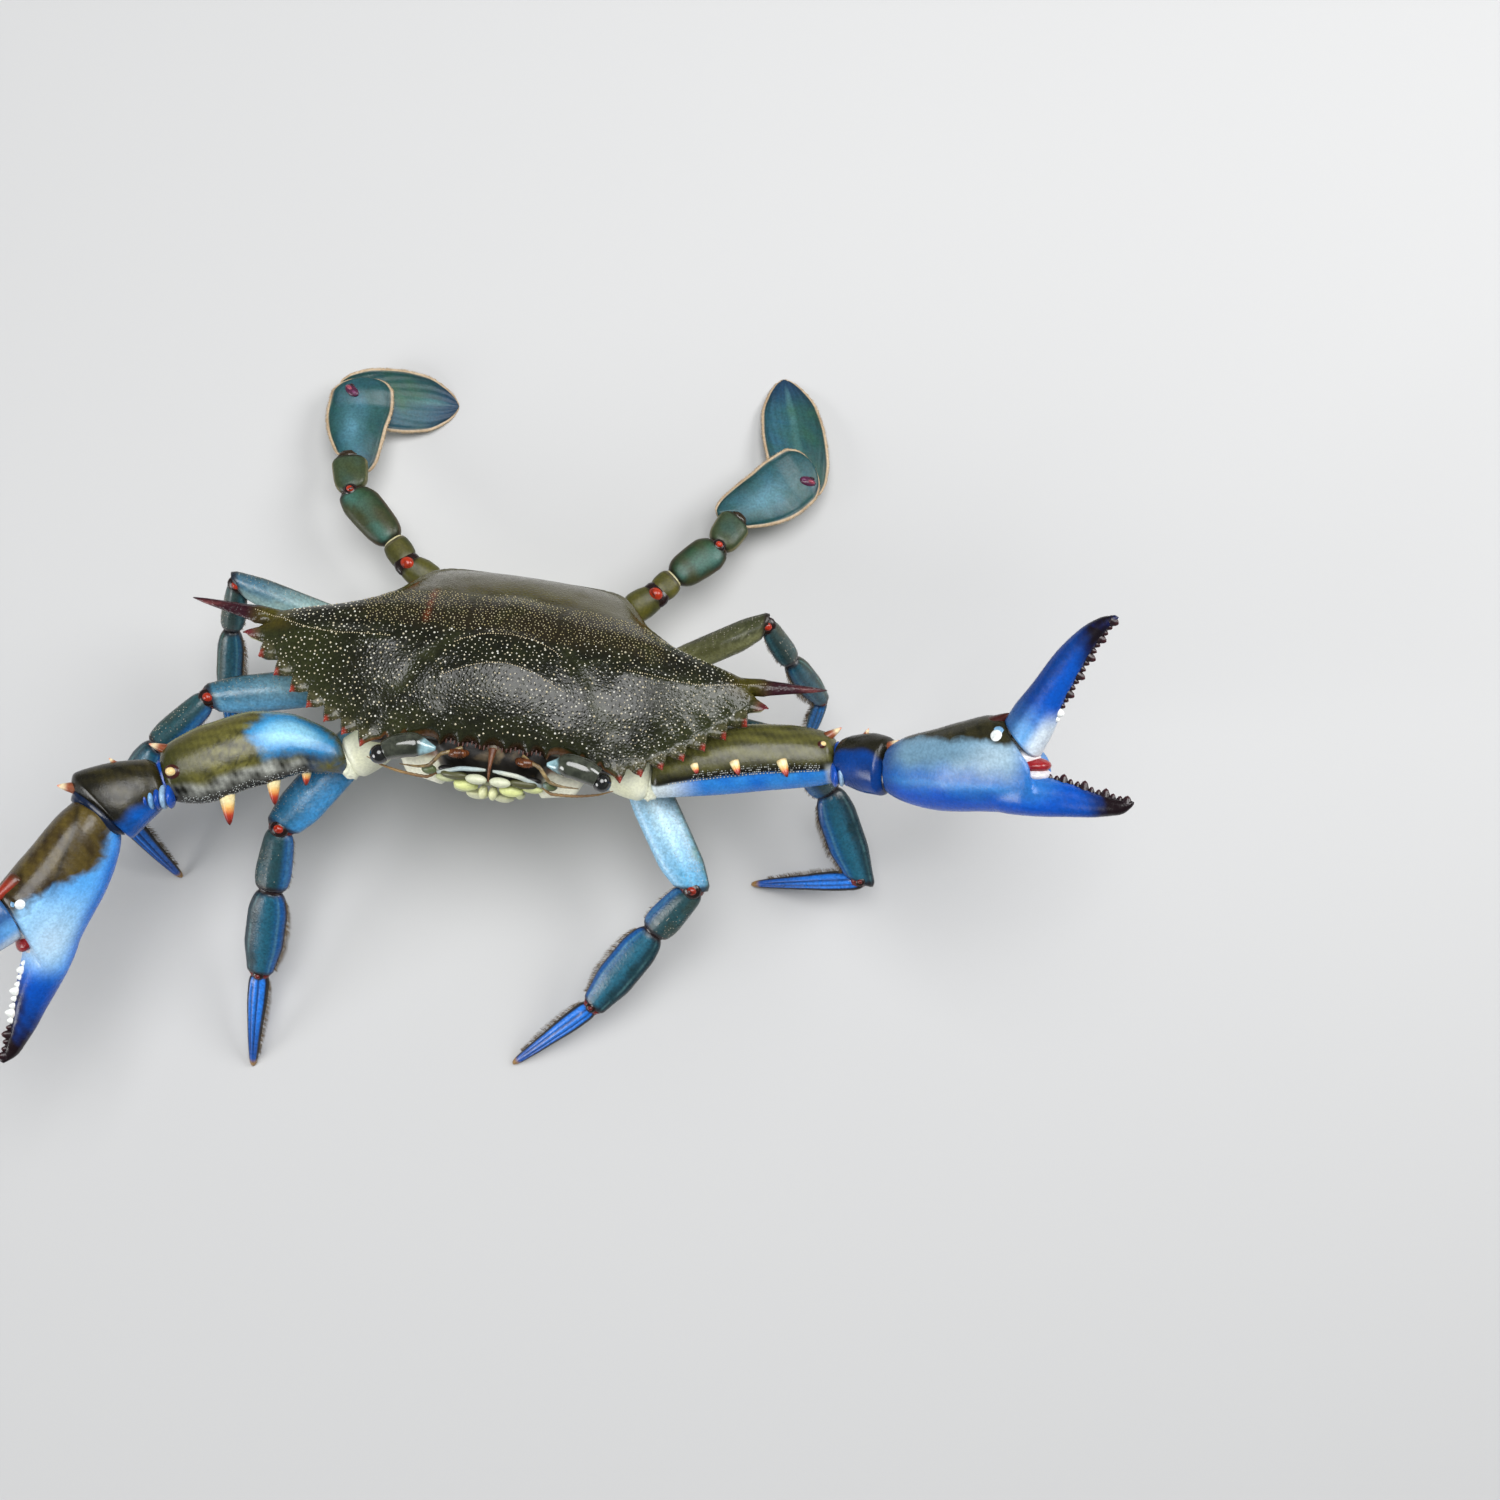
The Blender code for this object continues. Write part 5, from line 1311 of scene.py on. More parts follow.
def make_hand(side, start, along, plane):
    name = side_name(side)
    height, thick = claw_axes(name, along)
    start, along, plane = np.array(start), np.array(along), np.array(plane)
    slant = along * cos(PALM_END_SLANT) + height * sin(PALM_END_SLANT)
    hinge = start + along * (PALM_END[0] - HINGE_BACK[name]) + height * PALM_END[1]
    rings = claw_rings(PALM, start, along, height, thick, 48)
    x = ((rings - start) @ along)[:, :1]
    near = np.maximum(0, 1 - x / 6.0) * to_plane(rings[0], start, plane, GAP / 2, along)
    far = step(x, 24, 36.5) * np.minimum(to_plane(rings[-1], hinge, slant, -GAP / 2, along), 5.0)
    rings = rings + (near + far)[..., None] * along
    finger = claw_rings(FIXED_FINGER, start, along, height, thick, 32)
    points, faces = voxel_skin([rings, finger], HAND_VOXEL, HAND_SMOOTHING)
    x, y, z = ((points - start) @ way for way in (along, height, thick))
    up = z * (1 if thick[2] > 0 else -1)
    blue, wave, fine = palm_paint(name, x, y, points)
    if name == "right":
        field = (y + 1.5 - 0.7 * np.maximum(0, x - 10)) * 0.8 + up * 0.1 - np.maximum(0, 3 - x) * 0.3
        olive = over("2c2110", ("57491e", 0.5 + 0.35 * fine + 0.3 * wave),
                     ("1c1609", peak(y - 6.4, 0.5) * (1 - step(x, 28, 32)) * 0.7))
        share = 0.5 + (field + wave * 0.8) * 0.14
    else:
        field = (y - 8.8) * 0.8 - up * 0.05
        olive = mix("17170c", "34301a", 0.5 + 0.35 * fine)
        share = 0.5 + (field + wave * 0.5) * 0.3
    form = Form()
    form.add(points, faces, blue, olive, np.clip(np.where(x > 44, 0.0, share), 0, 1))
    form.piece(name + "_claw_palm", MAT_CLAW, "claw_blue", [name + "_claw_palm"])
    blade = make_finger(name, hinge, along, height, thick, slant)
    make_teeth(name, (FIXED_FINGER, start, along, height, 1, 39, 63.4, 14), blade, thick)
    add_claw_extras(name, start, hinge, along, height, thick)


def make_finger(name, hinge, along, height, thick, slant):
    """The movable finger; returns what its teeth need: profile, root, directions, and where they stand."""
    opening = CLAW_OPENING[name]
    run = along * cos(opening) + height * sin(opening)
    rise = height * cos(opening) - along * sin(opening)
    reach = FINGER_REACH[name]
    blade = [(x * reach, *rest) for x, *rest in MOVABLE_FINGER]
    rings = claw_rings(blade, hinge, run, rise, thick, 40)
    near = 1 - step((rings[:, :1] - hinge) @ run, 0, 8)
    rings = rings + (near * to_plane(rings[0], hinge, slant, GAP / 2, run))[..., None] * run
    x, y = ((rings - hinge) @ way for way in (run, rise))
    fine = ripple(rings, 1.6, 34)
    first = over("5f9cd4", ("044aa8", step(x, 1, 12)),
                 ("c8d4dc", (1 - step(y, -4.5, -1.5)) * (1 - step(x, 5, 12))),
                 ("062c66", step(y + 0.6 * fine, -0.5, 2.5) * 0.75),
                 ("0e0710", step(x + fine - 1.5 * y, 22.5, 31.5)))
    form = Form()
    add_tube(form, rings, first, mix(first, DEEP_BLUE, 0.6), 0.3 + 0.1 * fine)
    form.piece(name + "_claw_finger", MAT_CLAW, "claw_blue", [name + "_claw_finger"])
    return blade, hinge, run, rise, -1, 8, 38.3 * reach, 17


def make_teeth(name, fixed, movable, thick):
    """The teeth of both fingers, every third one larger."""
    teeth = Form()
    for profile, root, way, up, edge, first, last, count in (fixed, movable):
        for i in range(count):
            f = (i + 0.5) / count
            x = first + (last - first) * f
            middle, half_height, _ = smooth_rows(profile, x)
            large = i % 3 == 1
            size = 1.35 * (0.6 + 0.5 * sin(pi * f)) * (1.25 if large else 0.7)
            base = root + way * x + up * (middle + edge * (half_height - 0.8))
            colors = TOOTH_DARK if name == "left" and f > 0.12 or f > 0.65 else TOOTH_PALE
            tip = base + up * edge * (size + 0.8) + way * 0.35
            add_cone(teeth, base, tip, 1.45 if large else 1.05, colors, bulge=0.5, flat=0.8, side=thick)
    teeth.piece(name + "_claw_teeth", MAT_TOOTH, "claw_blue")


def add_claw_extras(name, start, hinge, along, height, thick):
    """The hinge's knobs and soft parts, and the palm's two horns over it."""
    joint = Form()
    lift = thick * (1 if thick[2] > 0 else -1)
    for sign in (1, -1):
        place = hinge + lift * sign * 4.9 + height * 0.3 - along * 4.4
        add_ball(joint, place, (2.0, 1.8, 1.6), "dfe4e4", (height, along, lift), 9)
        add_ball(joint, place - lift * sign * 0.7, (2.7, 2.5, 1.4), "6f9cc0", (height, along, lift), 9)
    for below, ahead, radii, color in HINGE_SKINS:
        add_ball(joint, hinge - height * below + along * ahead, radii, color, (height, along, thick), 9)
    joint.piece(name + "_claw_hinge", MAT_JOINT, "claw_blue")
    horn = Form()
    root_color, tip_color = (OLIVE, "3a120c") if name == "left" else (BROWN, "8a2a18")
    for x, y, ahead, rise, across in ((27, 12.0, 7.5, 5.0, 1.5), (29, 9.5, 6.5, 2.6, -3.0)):
        base = start + along * (x - HINGE_BACK[name]) + height * y + lift * across
        tip = base + along * ahead + height * rise * 0.8 + lift * across * 0.2
        add_cone(horn, base, tip, 2.4, [(0, root_color), (0.5, tip_color), (1, tip_color)], 16)
    horn.piece(name + "_claw_horns", MAT_TOOTH, "claw_blue")


def arm_shape(t, c, s, a, b):
    """The arm's section: a sharp front and rear edge and a slightly flattened top."""
    return a, b * (1 - 0.28 * np.abs(c) ** 3)


ARM_MERUS = {
    "right": [(0, 5.0, 5.0, 1.6), (0.12, 6.4, 5.6, 4.0), (0.3, 8.0, 6.2, 6.2), (0.5, 9.6, 6.5, 6.0),
              (0.75, 9.9, 6.6, 3.6), (0.9, 8.4, 6.4, 2.4), (1, 6.4, 5.4, 1.8)],
    "left": [(0, 5.4, 5.0, 1.4), (0.12, 6.8, 5.6, 2.4), (0.3, 8.4, 6.2, 3.4), (0.5, 8.9, 6.5, 3.6),
             (0.75, 8.4, 6.4, 2.8), (0.9, 7.4, 6.2, 1.8), (1, 6.0, 5.4, 1.0)],
}
ARM_WRIST = {
    "right": [(0, 5.4, 5.0, 0.8), (0.3, 7.6, 6.2, 0.9), (0.65, 9.6, 6.8, 1.0), (0.9, 10.4, 6.3, 0.9),
              (1, 9.6, 5.0, 0.6)],
    "left": [(0, 5.2, 5.0, 0.3), (0.3, 6.8, 6.0, 0.8), (0.65, 7.8, 6.4, 0.9), (0.9, 7.6, 6.0, 0.6),
             (1, 6.8, 5.2, 0.3)],
}


def arm_paint(name, kind, segment):
    t, c, s = segment.t, segment.cc, segment.ss
    wave = ripple(segment.rings, 4, 41)
    fine = ripple(segment.rings, 1.3, 42)
    if kind == "ischium":
        return mix("dcdcb8", "e6e8dc", 0.4 + 0.3 * wave), "c9c9a0", 0.3
    if kind == "merus" and name == "right":
        patch = peak(t - 0.28, 0.25) * peak(c - 0.3 + 0.08 * wave, 0.6)
        lines = peak(ripple(segment.rings, 1.7, 43), 0.16) * step(t, 0.3, 0.42) * (1 - step(t, 0.72, 0.85))
        rim = peak(c - 0.95, 0.04) * step(s, -0.1, 0.2) * 0.6
        granular = over("16160f", ("a4a69e", (0.5 + 0.5 * fine) * step(s, -0.1, 0.55) * step(c, -0.95, -0.7)),
                        (BLACK, 1 - step(c, -0.97, -0.9)))
        last = ((granular, (1 - step(c + 0.08 * wave, -0.62, -0.4)) * step(t, 0.14, 0.26)),
                (PALE_BLUE, (1 - step(s, -0.75, -0.3)) * 0.8))
        first = over("2a84bc", ("86c2e0", step(patch, 0.4, 0.95)),
                     ("154c80", (1 - step(c, -0.7, 0.0)) * (1 - step(t, 0.35, 0.5))), ("8fa08c", rim), *last)
        second = over("3c3a1a", ("6a6630", 0.5 + 0.45 * fine), ("23260f", step(t, 0.7, 1) * 0.8),
                      ("4a4420", step(c, 0.55, 0.95) * 0.6),
                      ("24230c", lines * 0.75 * (1 - step(c, 0.3, 0.6))),
                      ("9a9a6c", rim), *last)
        return first, second, 0.6 - 0.5 * step(patch, 0.05, 0.75) + 0.45 * step(t, 0.4, 0.62) + 0.12 * wave
    if kind == "merus":
        blue = over("085eba", ("3f96dc", 0.4 + 0.3 * wave), ("cdd9de", 1 - step(t, 0.04, 0.3)))
        first = over("34331a", ("5c5a2c", 0.5 + 0.45 * fine), ("14140b", (1 - step(c, -0.5, 0.1)) * 0.8),
                     (blue, 1 - step(c + 0.04 * wave, -0.56, -0.46)),
                     ("0c0c09", peak(c + 0.42, 0.1) * 0.95 * step(t, 0.03, 0.12)),
                     ("c9cfca", step(t, 0.93, 0.98) * (1 - step(c, -0.6, -0.2))))
        return first, first * 0.8, 0.3 + 0.12 * wave
    if name == "right":
        first = over("1c190d", ("3c361a", 0.4 + 0.4 * fine), ("0d0c09", step(t, 0.6, 0.95) * 0.8),
                     ("0654aa", (1 - step(c + 0.12 * wave, -0.8, -0.45)) * step(t, 0.05, 0.3)))
        return first, mix(first, BLACK, 0.6), 0.4 + 0.15 * wave
    first = over("063c88", ("05265a", 0.4 + 0.3 * wave), ("1c1a0f", step(c + 0.1 * wave, 0.1, 0.4)))
    return first, mix(first, BLACK, 0.3), 0.3 + 0.1 * wave


IVORY_HORN = [(0, "b8a070"), (0.25, "e8d8a4"), (0.5, "e0a860"), (0.72, "a8301c"), (1, "3a0f0c")]
SMALL_HORN = [(0, "6a3a1c"), (0.4, "8a4a30"), (0.75, "e0d0a8"), (1, "d8503a")]
# The three large spines of each arm: place along it, angle round it as a share of pi, and length
ARM_SPINES = {"right": ((0.24, 1.07, 3.4), (0.42, 1.05, 6.0), (0.68, 1.03, 7.2)),
              "left": ((0.25, 0.56, 1.2), (0.46, 0.57, 2.4), (0.72, 0.59, 3.2))}
# The skin after each part of the arm: colour, size and length
ARM_SKINS = ((mix(CREAM, WHITE, 0.5), 0.86, 2.6), (mix(COBALT, DEEP_BLUE, 0.5), 0.86, 2.6),
             ("0a1a34", 0.84, 2.8))
# The striped bars of soft skin at the elbow: place along the arm and colour
ELBOW_BARS = ((-1.4, "0c48a8"), (0.2, "8fb0cc"), (1.5, "0a3f94"), (2.9, "6c9cc8"), (4.2, "0a3f94"))
# The end spines: part of the arm, place, angle as a share of pi, lean out and along, length and radius
END_SPINES = ((1, 0.97, 0.12, 0.5, 1.2, 3.6, 1.5), (2, 0.975, 0.1, 0.8, 1.0, 3.4, 1.7),
              (2, 0.5, 0.1, 1.0, 0.5, 1.4, 0.9))


def add_arm_spines(form, name, segments):
    arm = segments[1]
    outward = 0.4 if name == "left" else 1.0
    for t, around, length in ARM_SPINES[name]:
        base, normal = arm.at(t, around * pi)
        way = unit(normal * outward - arm.wide * 1.2 + arm.run * 0.3)
        base = base - way * 1.6
        add_cone(form, base, base + way * (length + 1.6), 1.0 + length * 0.17, IVORY_HORN, 18, 16, bulge=0.45)
    for number, t, around, out, along, length, radius in END_SPINES:
        part = segments[number]
        base, normal = part.at(t, around * pi)
        way = unit(part.wide * out + part.run * along + normal * 0.3)
        base = base - way * 1.2
        add_cone(form, base, base + way * (length + 1.2), radius, SMALL_HORN, 16, 12)
    around, knob = (0.52, 1.35) if name == "right" else (0.36, 0.85)
    place, normal = arm.at(0.93, around * pi)
    add_ball(form, place + arm.run * 0.3, (knob, knob * 0.85, knob * 0.95), "e0c488", None, 9)
    add_ball(form, place - normal * 0.9, (knob * 1.7, knob * 1.6, 1.5), "3a120c", None, 9)


def add_arm_grains(form, name, side, arm):
    """Lines of granules on the arm's two edges, and a band of scattered ones along its front."""
    edge, band = (1.0, (0.8, 1.0)) if name == "right" else (0.66, (0.57, 0.66))
    for t in np.linspace(0.1, 0.9, 44):
        for around, radius, color in ((edge, 0.2, mix(TAN, WHITE, 0.5) * 0.7), (0.0, 0.17, TAN * 0.8)):
            place, normal = arm.at(t, around * pi)
            add_beads(form, [place], [normal], radius, color)
    rng = np.random.default_rng(70 + side)
    for _ in range(260):
        t = rng.uniform(0.22, 0.92)
        place, normal = arm.at(t, rng.uniform(*band) * pi)
        add_beads(form, [place], [normal], rng.uniform(0.1, 0.2), mix(GREY, WHITE, rng.uniform(0.1, 0.7)), 6)


def make_arm(side):
    name = side_name(side)
    claw = name + "_claw_"
    places, directions, planes = chain(0, side)
    planes[3] = (directions[2] * 0.3 + directions[3]).normalized()
    skin, spines, grains = Form(), Form(), Form()
    segments = []
    for k, kind in enumerate(("ischium", "merus", "carpus")):
        wide = unit(np.cross(unit(np.array(places[k + 1]) - np.array(places[k])), (0, 0, 1.0)))
        profile = (ARM_ISCHIUM, ARM_MERUS[name], ARM_WRIST[name])[k]
        segment = Segment(places[k], places[k + 1], (planes[k], planes[k + 1]), profile, side, rows=120,
                          sides=96, wide=wide * (-1 if wide[1] < 0 else 1), round_ends=2.2, power=0.88,
                          shape=arm_shape if kind == "merus" else None)
        segments.append(segment)
        form = Form()
        add_tube(form, segment.rings, *arm_paint(name, kind, segment))
        form.piece(claw + kind, MAT_CREAM if kind == "ischium" else MAT_CLAW, "arm_olive", [claw + kind])
    for k, segment in enumerate(segments):
        add_joint(skin, places[k + 1], directions[k], directions[k + 1], segment, *ARM_SKINS[k])
    arm = segments[1]
    front = unit(arm.wide * -1.0 + arm.thick * 0.25)
    rise, reach = (1.2, 3.9) if name == "right" else (2.2, 3.4)
    elbow = np.array(places[2]) + front * reach + arm.thick * rise
    for ahead, color in ELBOW_BARS:
        add_ball(skin, elbow + arm.run * ahead, (1.15, 3.5, 4.5), color, (arm.run, front, arm.thick), 14,
                 "0c48a8", 0.35)
    add_arm_spines(spines, name, segments)
    add_arm_grains(grains, name, side, arm)
    skin.piece(claw + "joint_skin", MAT_JOINT, "arm_olive")
    spines.piece(claw + "arm_spines", MAT_TOOTH, "arm_olive")
    grains.piece(claw + "arm_grains", MAT_GRAIN, "arm_olive")
    make_hand(side, places[3], directions[3], planes[3])


for SIDE in (-1, 1):
    make_arm(SIDE)


# Underside, face and eyes
def rim_path(count):
    """A ring of places under the back's rim, the same on both sides."""
    front = [(0, 29.0), (10, 29.3), (18, 29.9), (25, 30.9), (31, 31.9)]
    sides = [(half, v) for v, half in CARAPACE_OUTLINE[::-1] if v < 31]
    half = bend(front + sides + [(22.5 * f, -33.0) for f in (0.6, 0.3, 0.0)], count // 2 + 1)
    return np.concatenate([half, (half * (-1, 1))[::-1][1:-1]]).T


def flank_rings():
    """The underside as rings from under the back's rim to the breastplate's middle."""
    u, v = rim_path(160)
    side = np.abs(u)
    inner_u, inner_v = u * 0.85, v * 0.85
    rows = [body_point(inner_u, inner_v, rim_height(inner_u, inner_v) - GAP)]
    reach = np.sqrt((u / STERNUM_HALF_WIDTH) ** 2 + ((v - STERNUM_MIDDLE) / STERNUM_HALF_LENGTH) ** 2)
    target_u = u / reach
    target_v = STERNUM_MIDDLE + (v - STERNUM_MIDDLE) / reach
    at_end = step(np.abs(v), 22, 27) * (1 - step(side, 27, 32))
    top = rim_height(u, v) - GAP
    for depth in np.linspace(0, 1, 26):
        pull = np.interp(depth, *np.transpose(BODY_LEVELS)) * (1 - END_FULLNESS * (1 - depth) * at_end)
        mouth = (1 - step(side, 12, 16)) * np.sin(pi * np.clip((depth - 0.02) / 0.85, 0, 1)) ** 0.8 * 6.4
        swell = np.sin(pi * np.clip((depth - 0.22) / 0.75, 0, 1)) * 8.6
        brow = step(side, 12, 16) * (1 - step(side, 33, 38)) * swell
        height = top + (-STERNUM_DEPTH - top) * depth
        row_v = v + (target_v - v) * pull + (mouth + brow) * (v > 20)
        rows.append(body_point(u + (target_u - u) * pull, row_v, height))
    last = rows[-1]
    middle = body_point(0, STERNUM_MIDDLE, -STERNUM_DEPTH)
    return np.array(rows + [middle + (last - middle) * share for share in (0.8, 0.55, 0.3, 0.08)])


def make_underside():
    rings = flank_rings()
    wave = ripple(rings, 8, 51)
    side = np.abs(rings[..., 0])
    base = rings - np.array((0, 0, BODY_HEIGHT))
    v = base @ body_vector(0, 1, 0)
    w = base @ body_vector(0, 0, 1)
    front = step(v, 25, 28) * (1 - step(side, 30, 33))
    first = over(mix(CREAM, WHITE, 0.5 + 0.3 * wave),
                 # Under the eyes the pale underside is painted brighter than elsewhere, as painted light
                 ("f2f0da", (1 - step(w, -12, -9)) * step(side, 11, 15) * step(v, 18, 24)),
                 ("6a3a1c", front * step(w, -10.8, -9.6) * step(side, 11, 14)),
                 # The near-black paint just under the back's front edge, and deep in the middle behind the
                 # mouth plates, is painted shade
                 ("14100c", front * step(w, -9.5, -7.5)),
                 ("14100c", front * step(w, -15, -12) * (1 - step(side, 12, 15))))
    form = Form()
    add_tube(form, rings, first, mix(first, TAN, 0.4), 0.35 + 0.15 * wave)
    for number, radius in enumerate(ROOT_RADII):
        for side in (-1, 1):
            direction = root_direction(number, side)
            end = root_place(number, side)
            target = Vector(limb_pose(number, side)[0][0]) - end
            plane = (direction + target.normalized()).normalized()
            profile = [(0, radius * 0.95, radius * 0.9), (0.7, radius, radius * 0.95),
                       (1, radius * 0.86, radius * 0.8)]
            segment = Segment(end - direction * 15, end, (None, plane), profile, side, rows=24, sides=32)
            tone = mix(CREAM, WHITE, 0.5) if number < 4 else mix(CREAM, OLIVE_YELLOW, 0.6)
            add_tube(form, segment.rings, tone, mix(tone, TAN, 0.4), 0.35)
    form.piece("underside", MAT_CREAM, "underside_cream", ["ventral_body"])


def abdomen_path():
    """Places along the tail plate's middle, down the rear of the body and forward under it."""
    down = -body_vector(0, 0, 1)
    away = GAP + ABDOMEN_THICKNESS / 2
    rear_v = CARAPACE_OUTLINE[0][0]
    target = STERNUM_MIDDLE - STERNUM_HALF_LENGTH
    top = float(rim_height(0.0, float(rear_v))) - GAP
    skin = []
    for depth, inward in BODY_LEVELS[:-2]:
        pull = inward * (1 - END_FULLNESS * (1 - depth))
        skin.append(body_point(0, rear_v + (target - rear_v) * pull, top + (-STERNUM_DEPTH - top) * depth))
    path = []
    for number, point in enumerate(skin):
        run = unit(skin[min(len(skin) - 1, number + 1)] - skin[max(0, number - 1)])
        outward = np.cross(run, (1, 0, 0))
        path.append(point + outward * (-away if outward[1] < 0 else away))
    floor = body_point(0, target, -STERNUM_DEPTH) + down * away
    return np.array(path + [floor + body_vector(0, ahead, 0) for ahead in ABDOMEN_AHEAD])


def make_abdomen():
    path = abdomen_path()
    reach = np.concatenate([[0], np.cumsum(np.linalg.norm(np.diff(path, axis=0), axis=1))])
    places = np.linspace(0, reach[-1], 120)
    line = smooth_rows(np.column_stack([reach, path]), places)
    width = smooth_rows(np.column_stack([reach, ABDOMEN_WIDTHS]), places)
    seam = sum(peak(places - joint, 0.5) for joint in (4.0, 9.0, 14.0, 20.0, 28.0, 39.0))[:, None]
    outward = np.cross(unit(np.gradient(line, axis=0)), (1.0, 0, 0))
    thick = ABDOMEN_THICKNESS / 2 * (1 - 0.35 * seam)
    rings = round_rings(line, width * (1.0, 0, 0), thick * outward, 40, 0.6)
    wave = ripple(rings, 7, 52)
    first = mix(mix(CREAM, WHITE, 0.5 + 0.3 * wave), TAN * 0.6, np.repeat(seam, 40, 1) * 0.7)
    form = Form()
    add_tube(form, rings, first, mix(first, TAN, 0.4), 0.3)
    form.piece("tail_plate", MAT_CREAM, "underside_cream", ["abdomen"])


def body_line(side, places, count, wobble=0.0, beat=1.0):
    """A smooth line through places in the body's own directions, with radii that may be ringed."""
    line = bend([(*body_point(side * u, v, w), radius) for u, v, w, radius in places], count)
    return line[:, :3], line[:, 3] * (1 + wobble * np.cos(np.arange(count) * beat))


def make_eye(side):
    name = side_name(side)
    out, rise = (1.4, 2.2) if side > 0 else (0.8, 1.0)
    places = [(13.8, 33.4, -2.6, 0.5), (16.0, 33.3, -2.7, 1.7), (19.2, 33.2, -3.0 + rise * 0.4, 3.1),
              (22.9, 33.8, -3.8 + rise * 0.7, 3.1), (25.4 + out, 34.9, -5.3 + rise, 2.5)]
    rings = line_rings(*body_line(side, places, 44), 40, 0.95)
    wave = ripple(rings, 2.6, 61)
    t = np.linspace(0, 1, 44)[:, None]
    first = over("1c2016", ("4a4e42", 0.5 + 0.5 * wave), ("86a8b0", 1 - step(t + 0.05 * wave, 0.2, 0.3)))
    form = Form()
    add_tube(form, rings, first, mix(first, BLACK, 0.4), 0.42 + 0.2 * wave)
    form.piece(name + "_eye_stalk", MAT_EYE, "eye_dark", [name + "_eye"])
    ball = Form()
    middle = body_point(side * (EYE_BALL[0] + out), EYE_BALL[1], EYE_BALL[2] + rise)
    add_ball(ball, middle, (2.45, 2.45, 2.5), "0c0d0b", body_vector(*np.eye(3)), 16, "24251f", 0.4)
    ball.piece(name + "_eye_ball", MAT_EYE, "eye_dark")


FEELERS = {
    "antenna": ("94805a", "4f3c22", [
        (7.6, 31.8, -2.8, 0.5), (9.6, 33.4, -2.6, 0.5), (12.2, 34.6, -2.8, 0.5), (13.6, 35.6, -4.2, 0.5),
        (15.2, 36.3, -6.0, 0.45), (18.6, 36.4, -7.0, 0.3), (22.4, 36.2, -7.2, 0.12)]),
    "antennule": ("6a3a1a", "3a1e10", [
        (6.4, 32.0, -4.6, 0.7), (7.2, 33.4, -3.2, 1.1), (8.6, 34.0, -2.6, 1.2), (10.0, 33.6, -3.2, 0.9),
        (10.2, 32.6, -4.4, 0.6)]),
}


def make_feelers(side):
    for kind, (pale, dark, places) in FEELERS.items():
        name = "%s_%s" % (side_name(side), kind)
        rings = line_rings(*body_line(side, places, 46, 0.07, 1.9), 14)
        form = Form()
        add_tube(form, rings, mix(pale, dark, 0.5 + 0.5 * ripple(rings, 1.2, 62)), BROWN, 0.35)
        form.piece(name, MAT_JOINT, "feeler_brown", [name])


def add_plate(form, middle, radii, first, second, tilt=0.0, power=0.8, turn=0.0):
    """A domed plate of the face: radii across, along and out, turned in the plane of the mouth."""
    side = body_vector(1, 0, 0)
    out = unit(body_vector(0, cos(tilt), -sin(tilt)))
    down = np.cross(side, out)
    across = side * cos(turn) + down * sin(turn)
    along = np.cross(out, across)
    add_ball(form, middle, radii, first, (across, along, out), 14, second, 0.4, power)


PLATE_YELLOW = "d6dc94"
# Plates of the mouth: place, radii across, along and out, the two paints, and turn
MOUTH_PLATES = (
    (1.25, 37.7, -12.2, (1.15, 2.6, 1.85), "d6d7a8", PLATE_YELLOW, 0.0),
    (3.0, 38.0, -6.7, (2.7, 1.7, 1.3), "c3c6ab", "d6d8c0", 0.08),
    (5.7, 37.2, -10.7, (3.1, 2.3, 1.6), PLATE_YELLOW, "c3ca84", 0.22),
    (8.6, 37.0, -7.4, (3.6, 1.5, 1.2), "4c4c2e", "34341f", 0.28),
    (10.9, 36.4, -9.9, (2.8, 1.5, 1.1), "b4b98c", PLATE_YELLOW, 0.5),
    (3.3, 33.9, -18.8, (2.75, 6.0, 1.4), "d6d7b0", "b9be90", 0.03),
    (7.2, 33.2, -17.8, (1.35, 6.2, 1.2), "c3c79c", "d6d7b0", 0.16))


def make_mouth():
    for side in (-1, 1):
        name = side_name(side)
        form = Form()
        for u, v, w, radii, first, second, turn in MOUTH_PLATES:
            power = 0.62 if radii[1] > 5 else 0.8
            add_plate(form, body_point(side * u, v, w), radii, first, second, radians(35), power, side * turn)
        form.piece(name + "_mouth_plates", MAT_CREAM, "mouth_cream", [name + "_maxilliped"])


# Lines of the face as places and radii
MOUTH_RIDGE = [(0.9, 36.2, -4.8, 0.35), (3.4, 36.9, -4.1, 0.55), (6.8, 36.9, -4.6, 0.6),
               (9.8, 36.6, -6.4, 0.55), (12.9, 35.8, -8.9, 0.5)]
ORBIT_RIDGE = [(13.4, 35.6, -9.6, 0.4), (16.0, 36.6, -10.6, 0.4), (21.0, 36.4, -10.4, 0.38),
               (27.0, 35.6, -9.6, 0.28), (31.0, 34.4, -8.6, 0.1)]
MIDDLE_SPINE = [(0, 31.4, -2.6, 1.3), (0, 33.4, -2.9, 0.9), (0, 35.6, -3.6, 0.55), (0, 37.2, -5.2, 0.4),
                (0, 37.9, -7.2, 0.2)]
# Dark plates of painted shade beside the mouth, in the hollows there: place and radii
MOUTH_SHADE_PLATES = ((5.8, 36.0, -5.9, (3.8, 0.9, 0.9)), (10.6, 35.4, -7.6, (2.4, 1.0, 0.9)))
BROW_TEETH = 11
BROW_TOOTH_COLORS = [(0, "2a140e"), (0.6, "4f261a"), (1, "7a4a3c")]


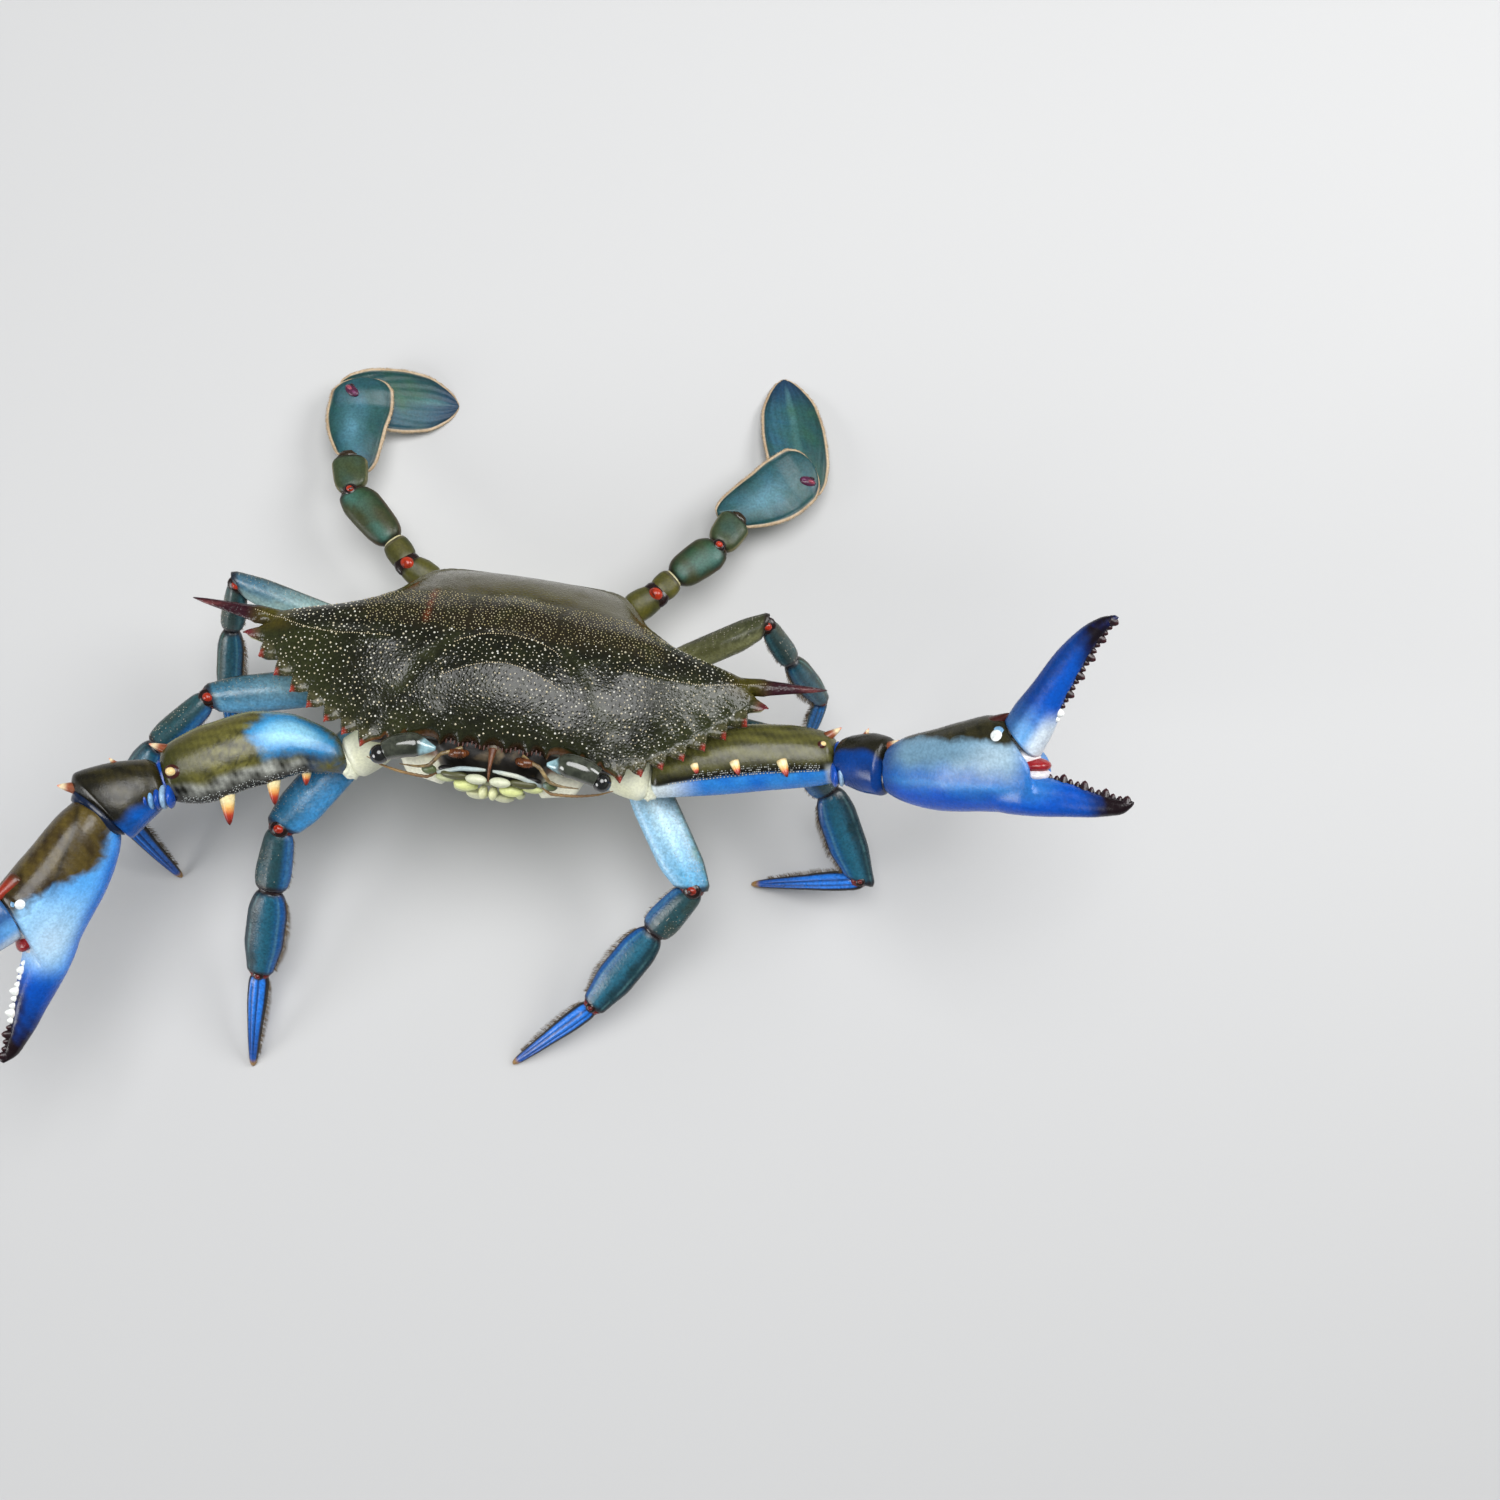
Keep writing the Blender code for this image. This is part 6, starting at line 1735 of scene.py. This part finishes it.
def make_face():
    """The frame of the mouth: pale ridges over dark plates of painted shade, the pointed piece between, and
    small side knobs.
    """
    form = Form()
    shade_plates = Form()
    for side in (-1, 1):
        rings = line_rings(*body_line(side, MOUTH_RIDGE, 40), 14)
        add_tube(form, rings, mix("b9bcae", "8fa6b0", 0.5 + 0.5 * ripple(rings, 3, 71)), "6a5236", 0.35)
        add_tube(form, line_rings(*body_line(side, ORBIT_RIDGE, 60, 0.12, 1.5), 12), "5f4022", "8f7040", 0.5)
        add_plate(form, body_point(side * 15.2, 35.6, -8.6), (1.9, 1.5, 1.2), "55603c", "7f97a0", radians(20),
                  0.8, side * 0.5)
        # Dark plates of painted shade beside the mouth
        for u, v, w, radii in MOUTH_SHADE_PLATES:
            add_plate(shade_plates, body_point(side * u, v, w), radii, "0c0908", "1c120c", radians(30), 0.8,
                      side * 0.15)
        for number in range(BROW_TEETH):
            u = 1.2 + number * 11.6 / BROW_TEETH
            v = 30.6 + 0.9 * abs(sin(u * 0.58))
            tip = body_point(side * u, v + 0.15 + 0.2 * (number % 2), -2.7)
            add_cone(form, body_point(side * u, v - 0.9, -2.3), tip, 0.3, BROW_TOOTH_COLORS, 8, 6)
    rings = line_rings(*body_line(1, MIDDLE_SPINE, 30), 16, 0.8, side=(1.0, 0, 0))
    add_tube(form, rings, "4a281a", "7a4c2c", 0.5)
    form.piece("face_ridges", MAT_CREAM, "mouth_cream")
    shade_plates.piece("face_painted_shade", MAT_CREAM, "mouth_cream")


make_underside()
make_abdomen()
make_mouth()
make_face()
for SIDE in (-1, 1):
    make_eye(SIDE)
    make_feelers(SIDE)


# Floor, light and camera
FLOOR_SIZE = 6
FLOOR_COLOR = (0.5, 0.5, 0.5, 1)
FLOOR_ROUGHNESS = 0.9
SKY_COLOR = (0.9, 0.95, 1.0, 1)
SKY_STRENGTH = 0.22
# Round area lamps: place and target in metres, width and power
LAMPS = {"key": ((0.01, 0.22, 0.97), (0.0, 0.0, 0.03), 0.7, 9.0),
         "side": ((0.66, 0.4, 0.66), (0.03, 0.0, 0.04), 0.5, 5.5),
         "fill": ((-1.2, -0.8, 0.6), (0, 0, 0), 0.8, 13)}
# The photograph's view, fitted to the animal: place in millimetres, and directions
CAMERA_PLACE = np.array((39.705, -55.306, 435.7))
CAMERA_FORWARD = np.array((0.06319, 0.09641, -0.99333))
CAMERA_RIGHT = np.array((0.98781, 0.13584, 0.07602))
CAMERA_LENS = 36


def make_stage():
    bpy.ops.mesh.primitive_plane_add(size=FLOOR_SIZE, location=(0, 0, 0))
    floor = bpy.context.object
    floor.name = "floor"
    material = bpy.data.materials.new("floor")
    material.use_nodes = True
    shader = material.node_tree.nodes["Principled BSDF"]
    shader.inputs["Base Color"].default_value = FLOOR_COLOR
    shader.inputs["Roughness"].default_value = FLOOR_ROUGHNESS
    floor.data.materials.append(material)


def light_stage():
    for name, (place, target, size, power) in LAMPS.items():
        lamp = bpy.data.lights.new(name, "AREA")
        lamp.shape = "DISK"
        lamp.size = size
        lamp.energy = power
        item = add_object(name, lamp)
        item.location = place
        item.rotation_euler = (Vector(target) - Vector(place)).to_track_quat("-Z", "Y").to_euler()
    world = bpy.data.worlds.new("studio")
    world.use_nodes = True
    background = world.node_tree.nodes["Background"]
    background.inputs["Color"].default_value = SKY_COLOR
    background.inputs["Strength"].default_value = SKY_STRENGTH
    bpy.context.scene.world = world
    bpy.context.scene.view_settings.view_transform = "Standard"


def place_camera():
    right = unit(CAMERA_RIGHT)
    forward = unit(CAMERA_FORWARD - right * (CAMERA_FORWARD @ right))
    camera = bpy.data.cameras.new("photo_view")
    camera.lens = CAMERA_LENS
    camera.sensor_width = 36
    camera.clip_start = 0.01
    item = add_object("photo_view", camera)
    matrix = Matrix(np.stack([right, np.cross(right, forward), -forward], 1)).to_4x4()
    matrix.translation = Vector((CAMERA_PLACE + SHIFT) * MM)
    item.matrix_world = matrix
    bpy.context.scene.camera = item


make_stage()
light_stage()
place_camera()
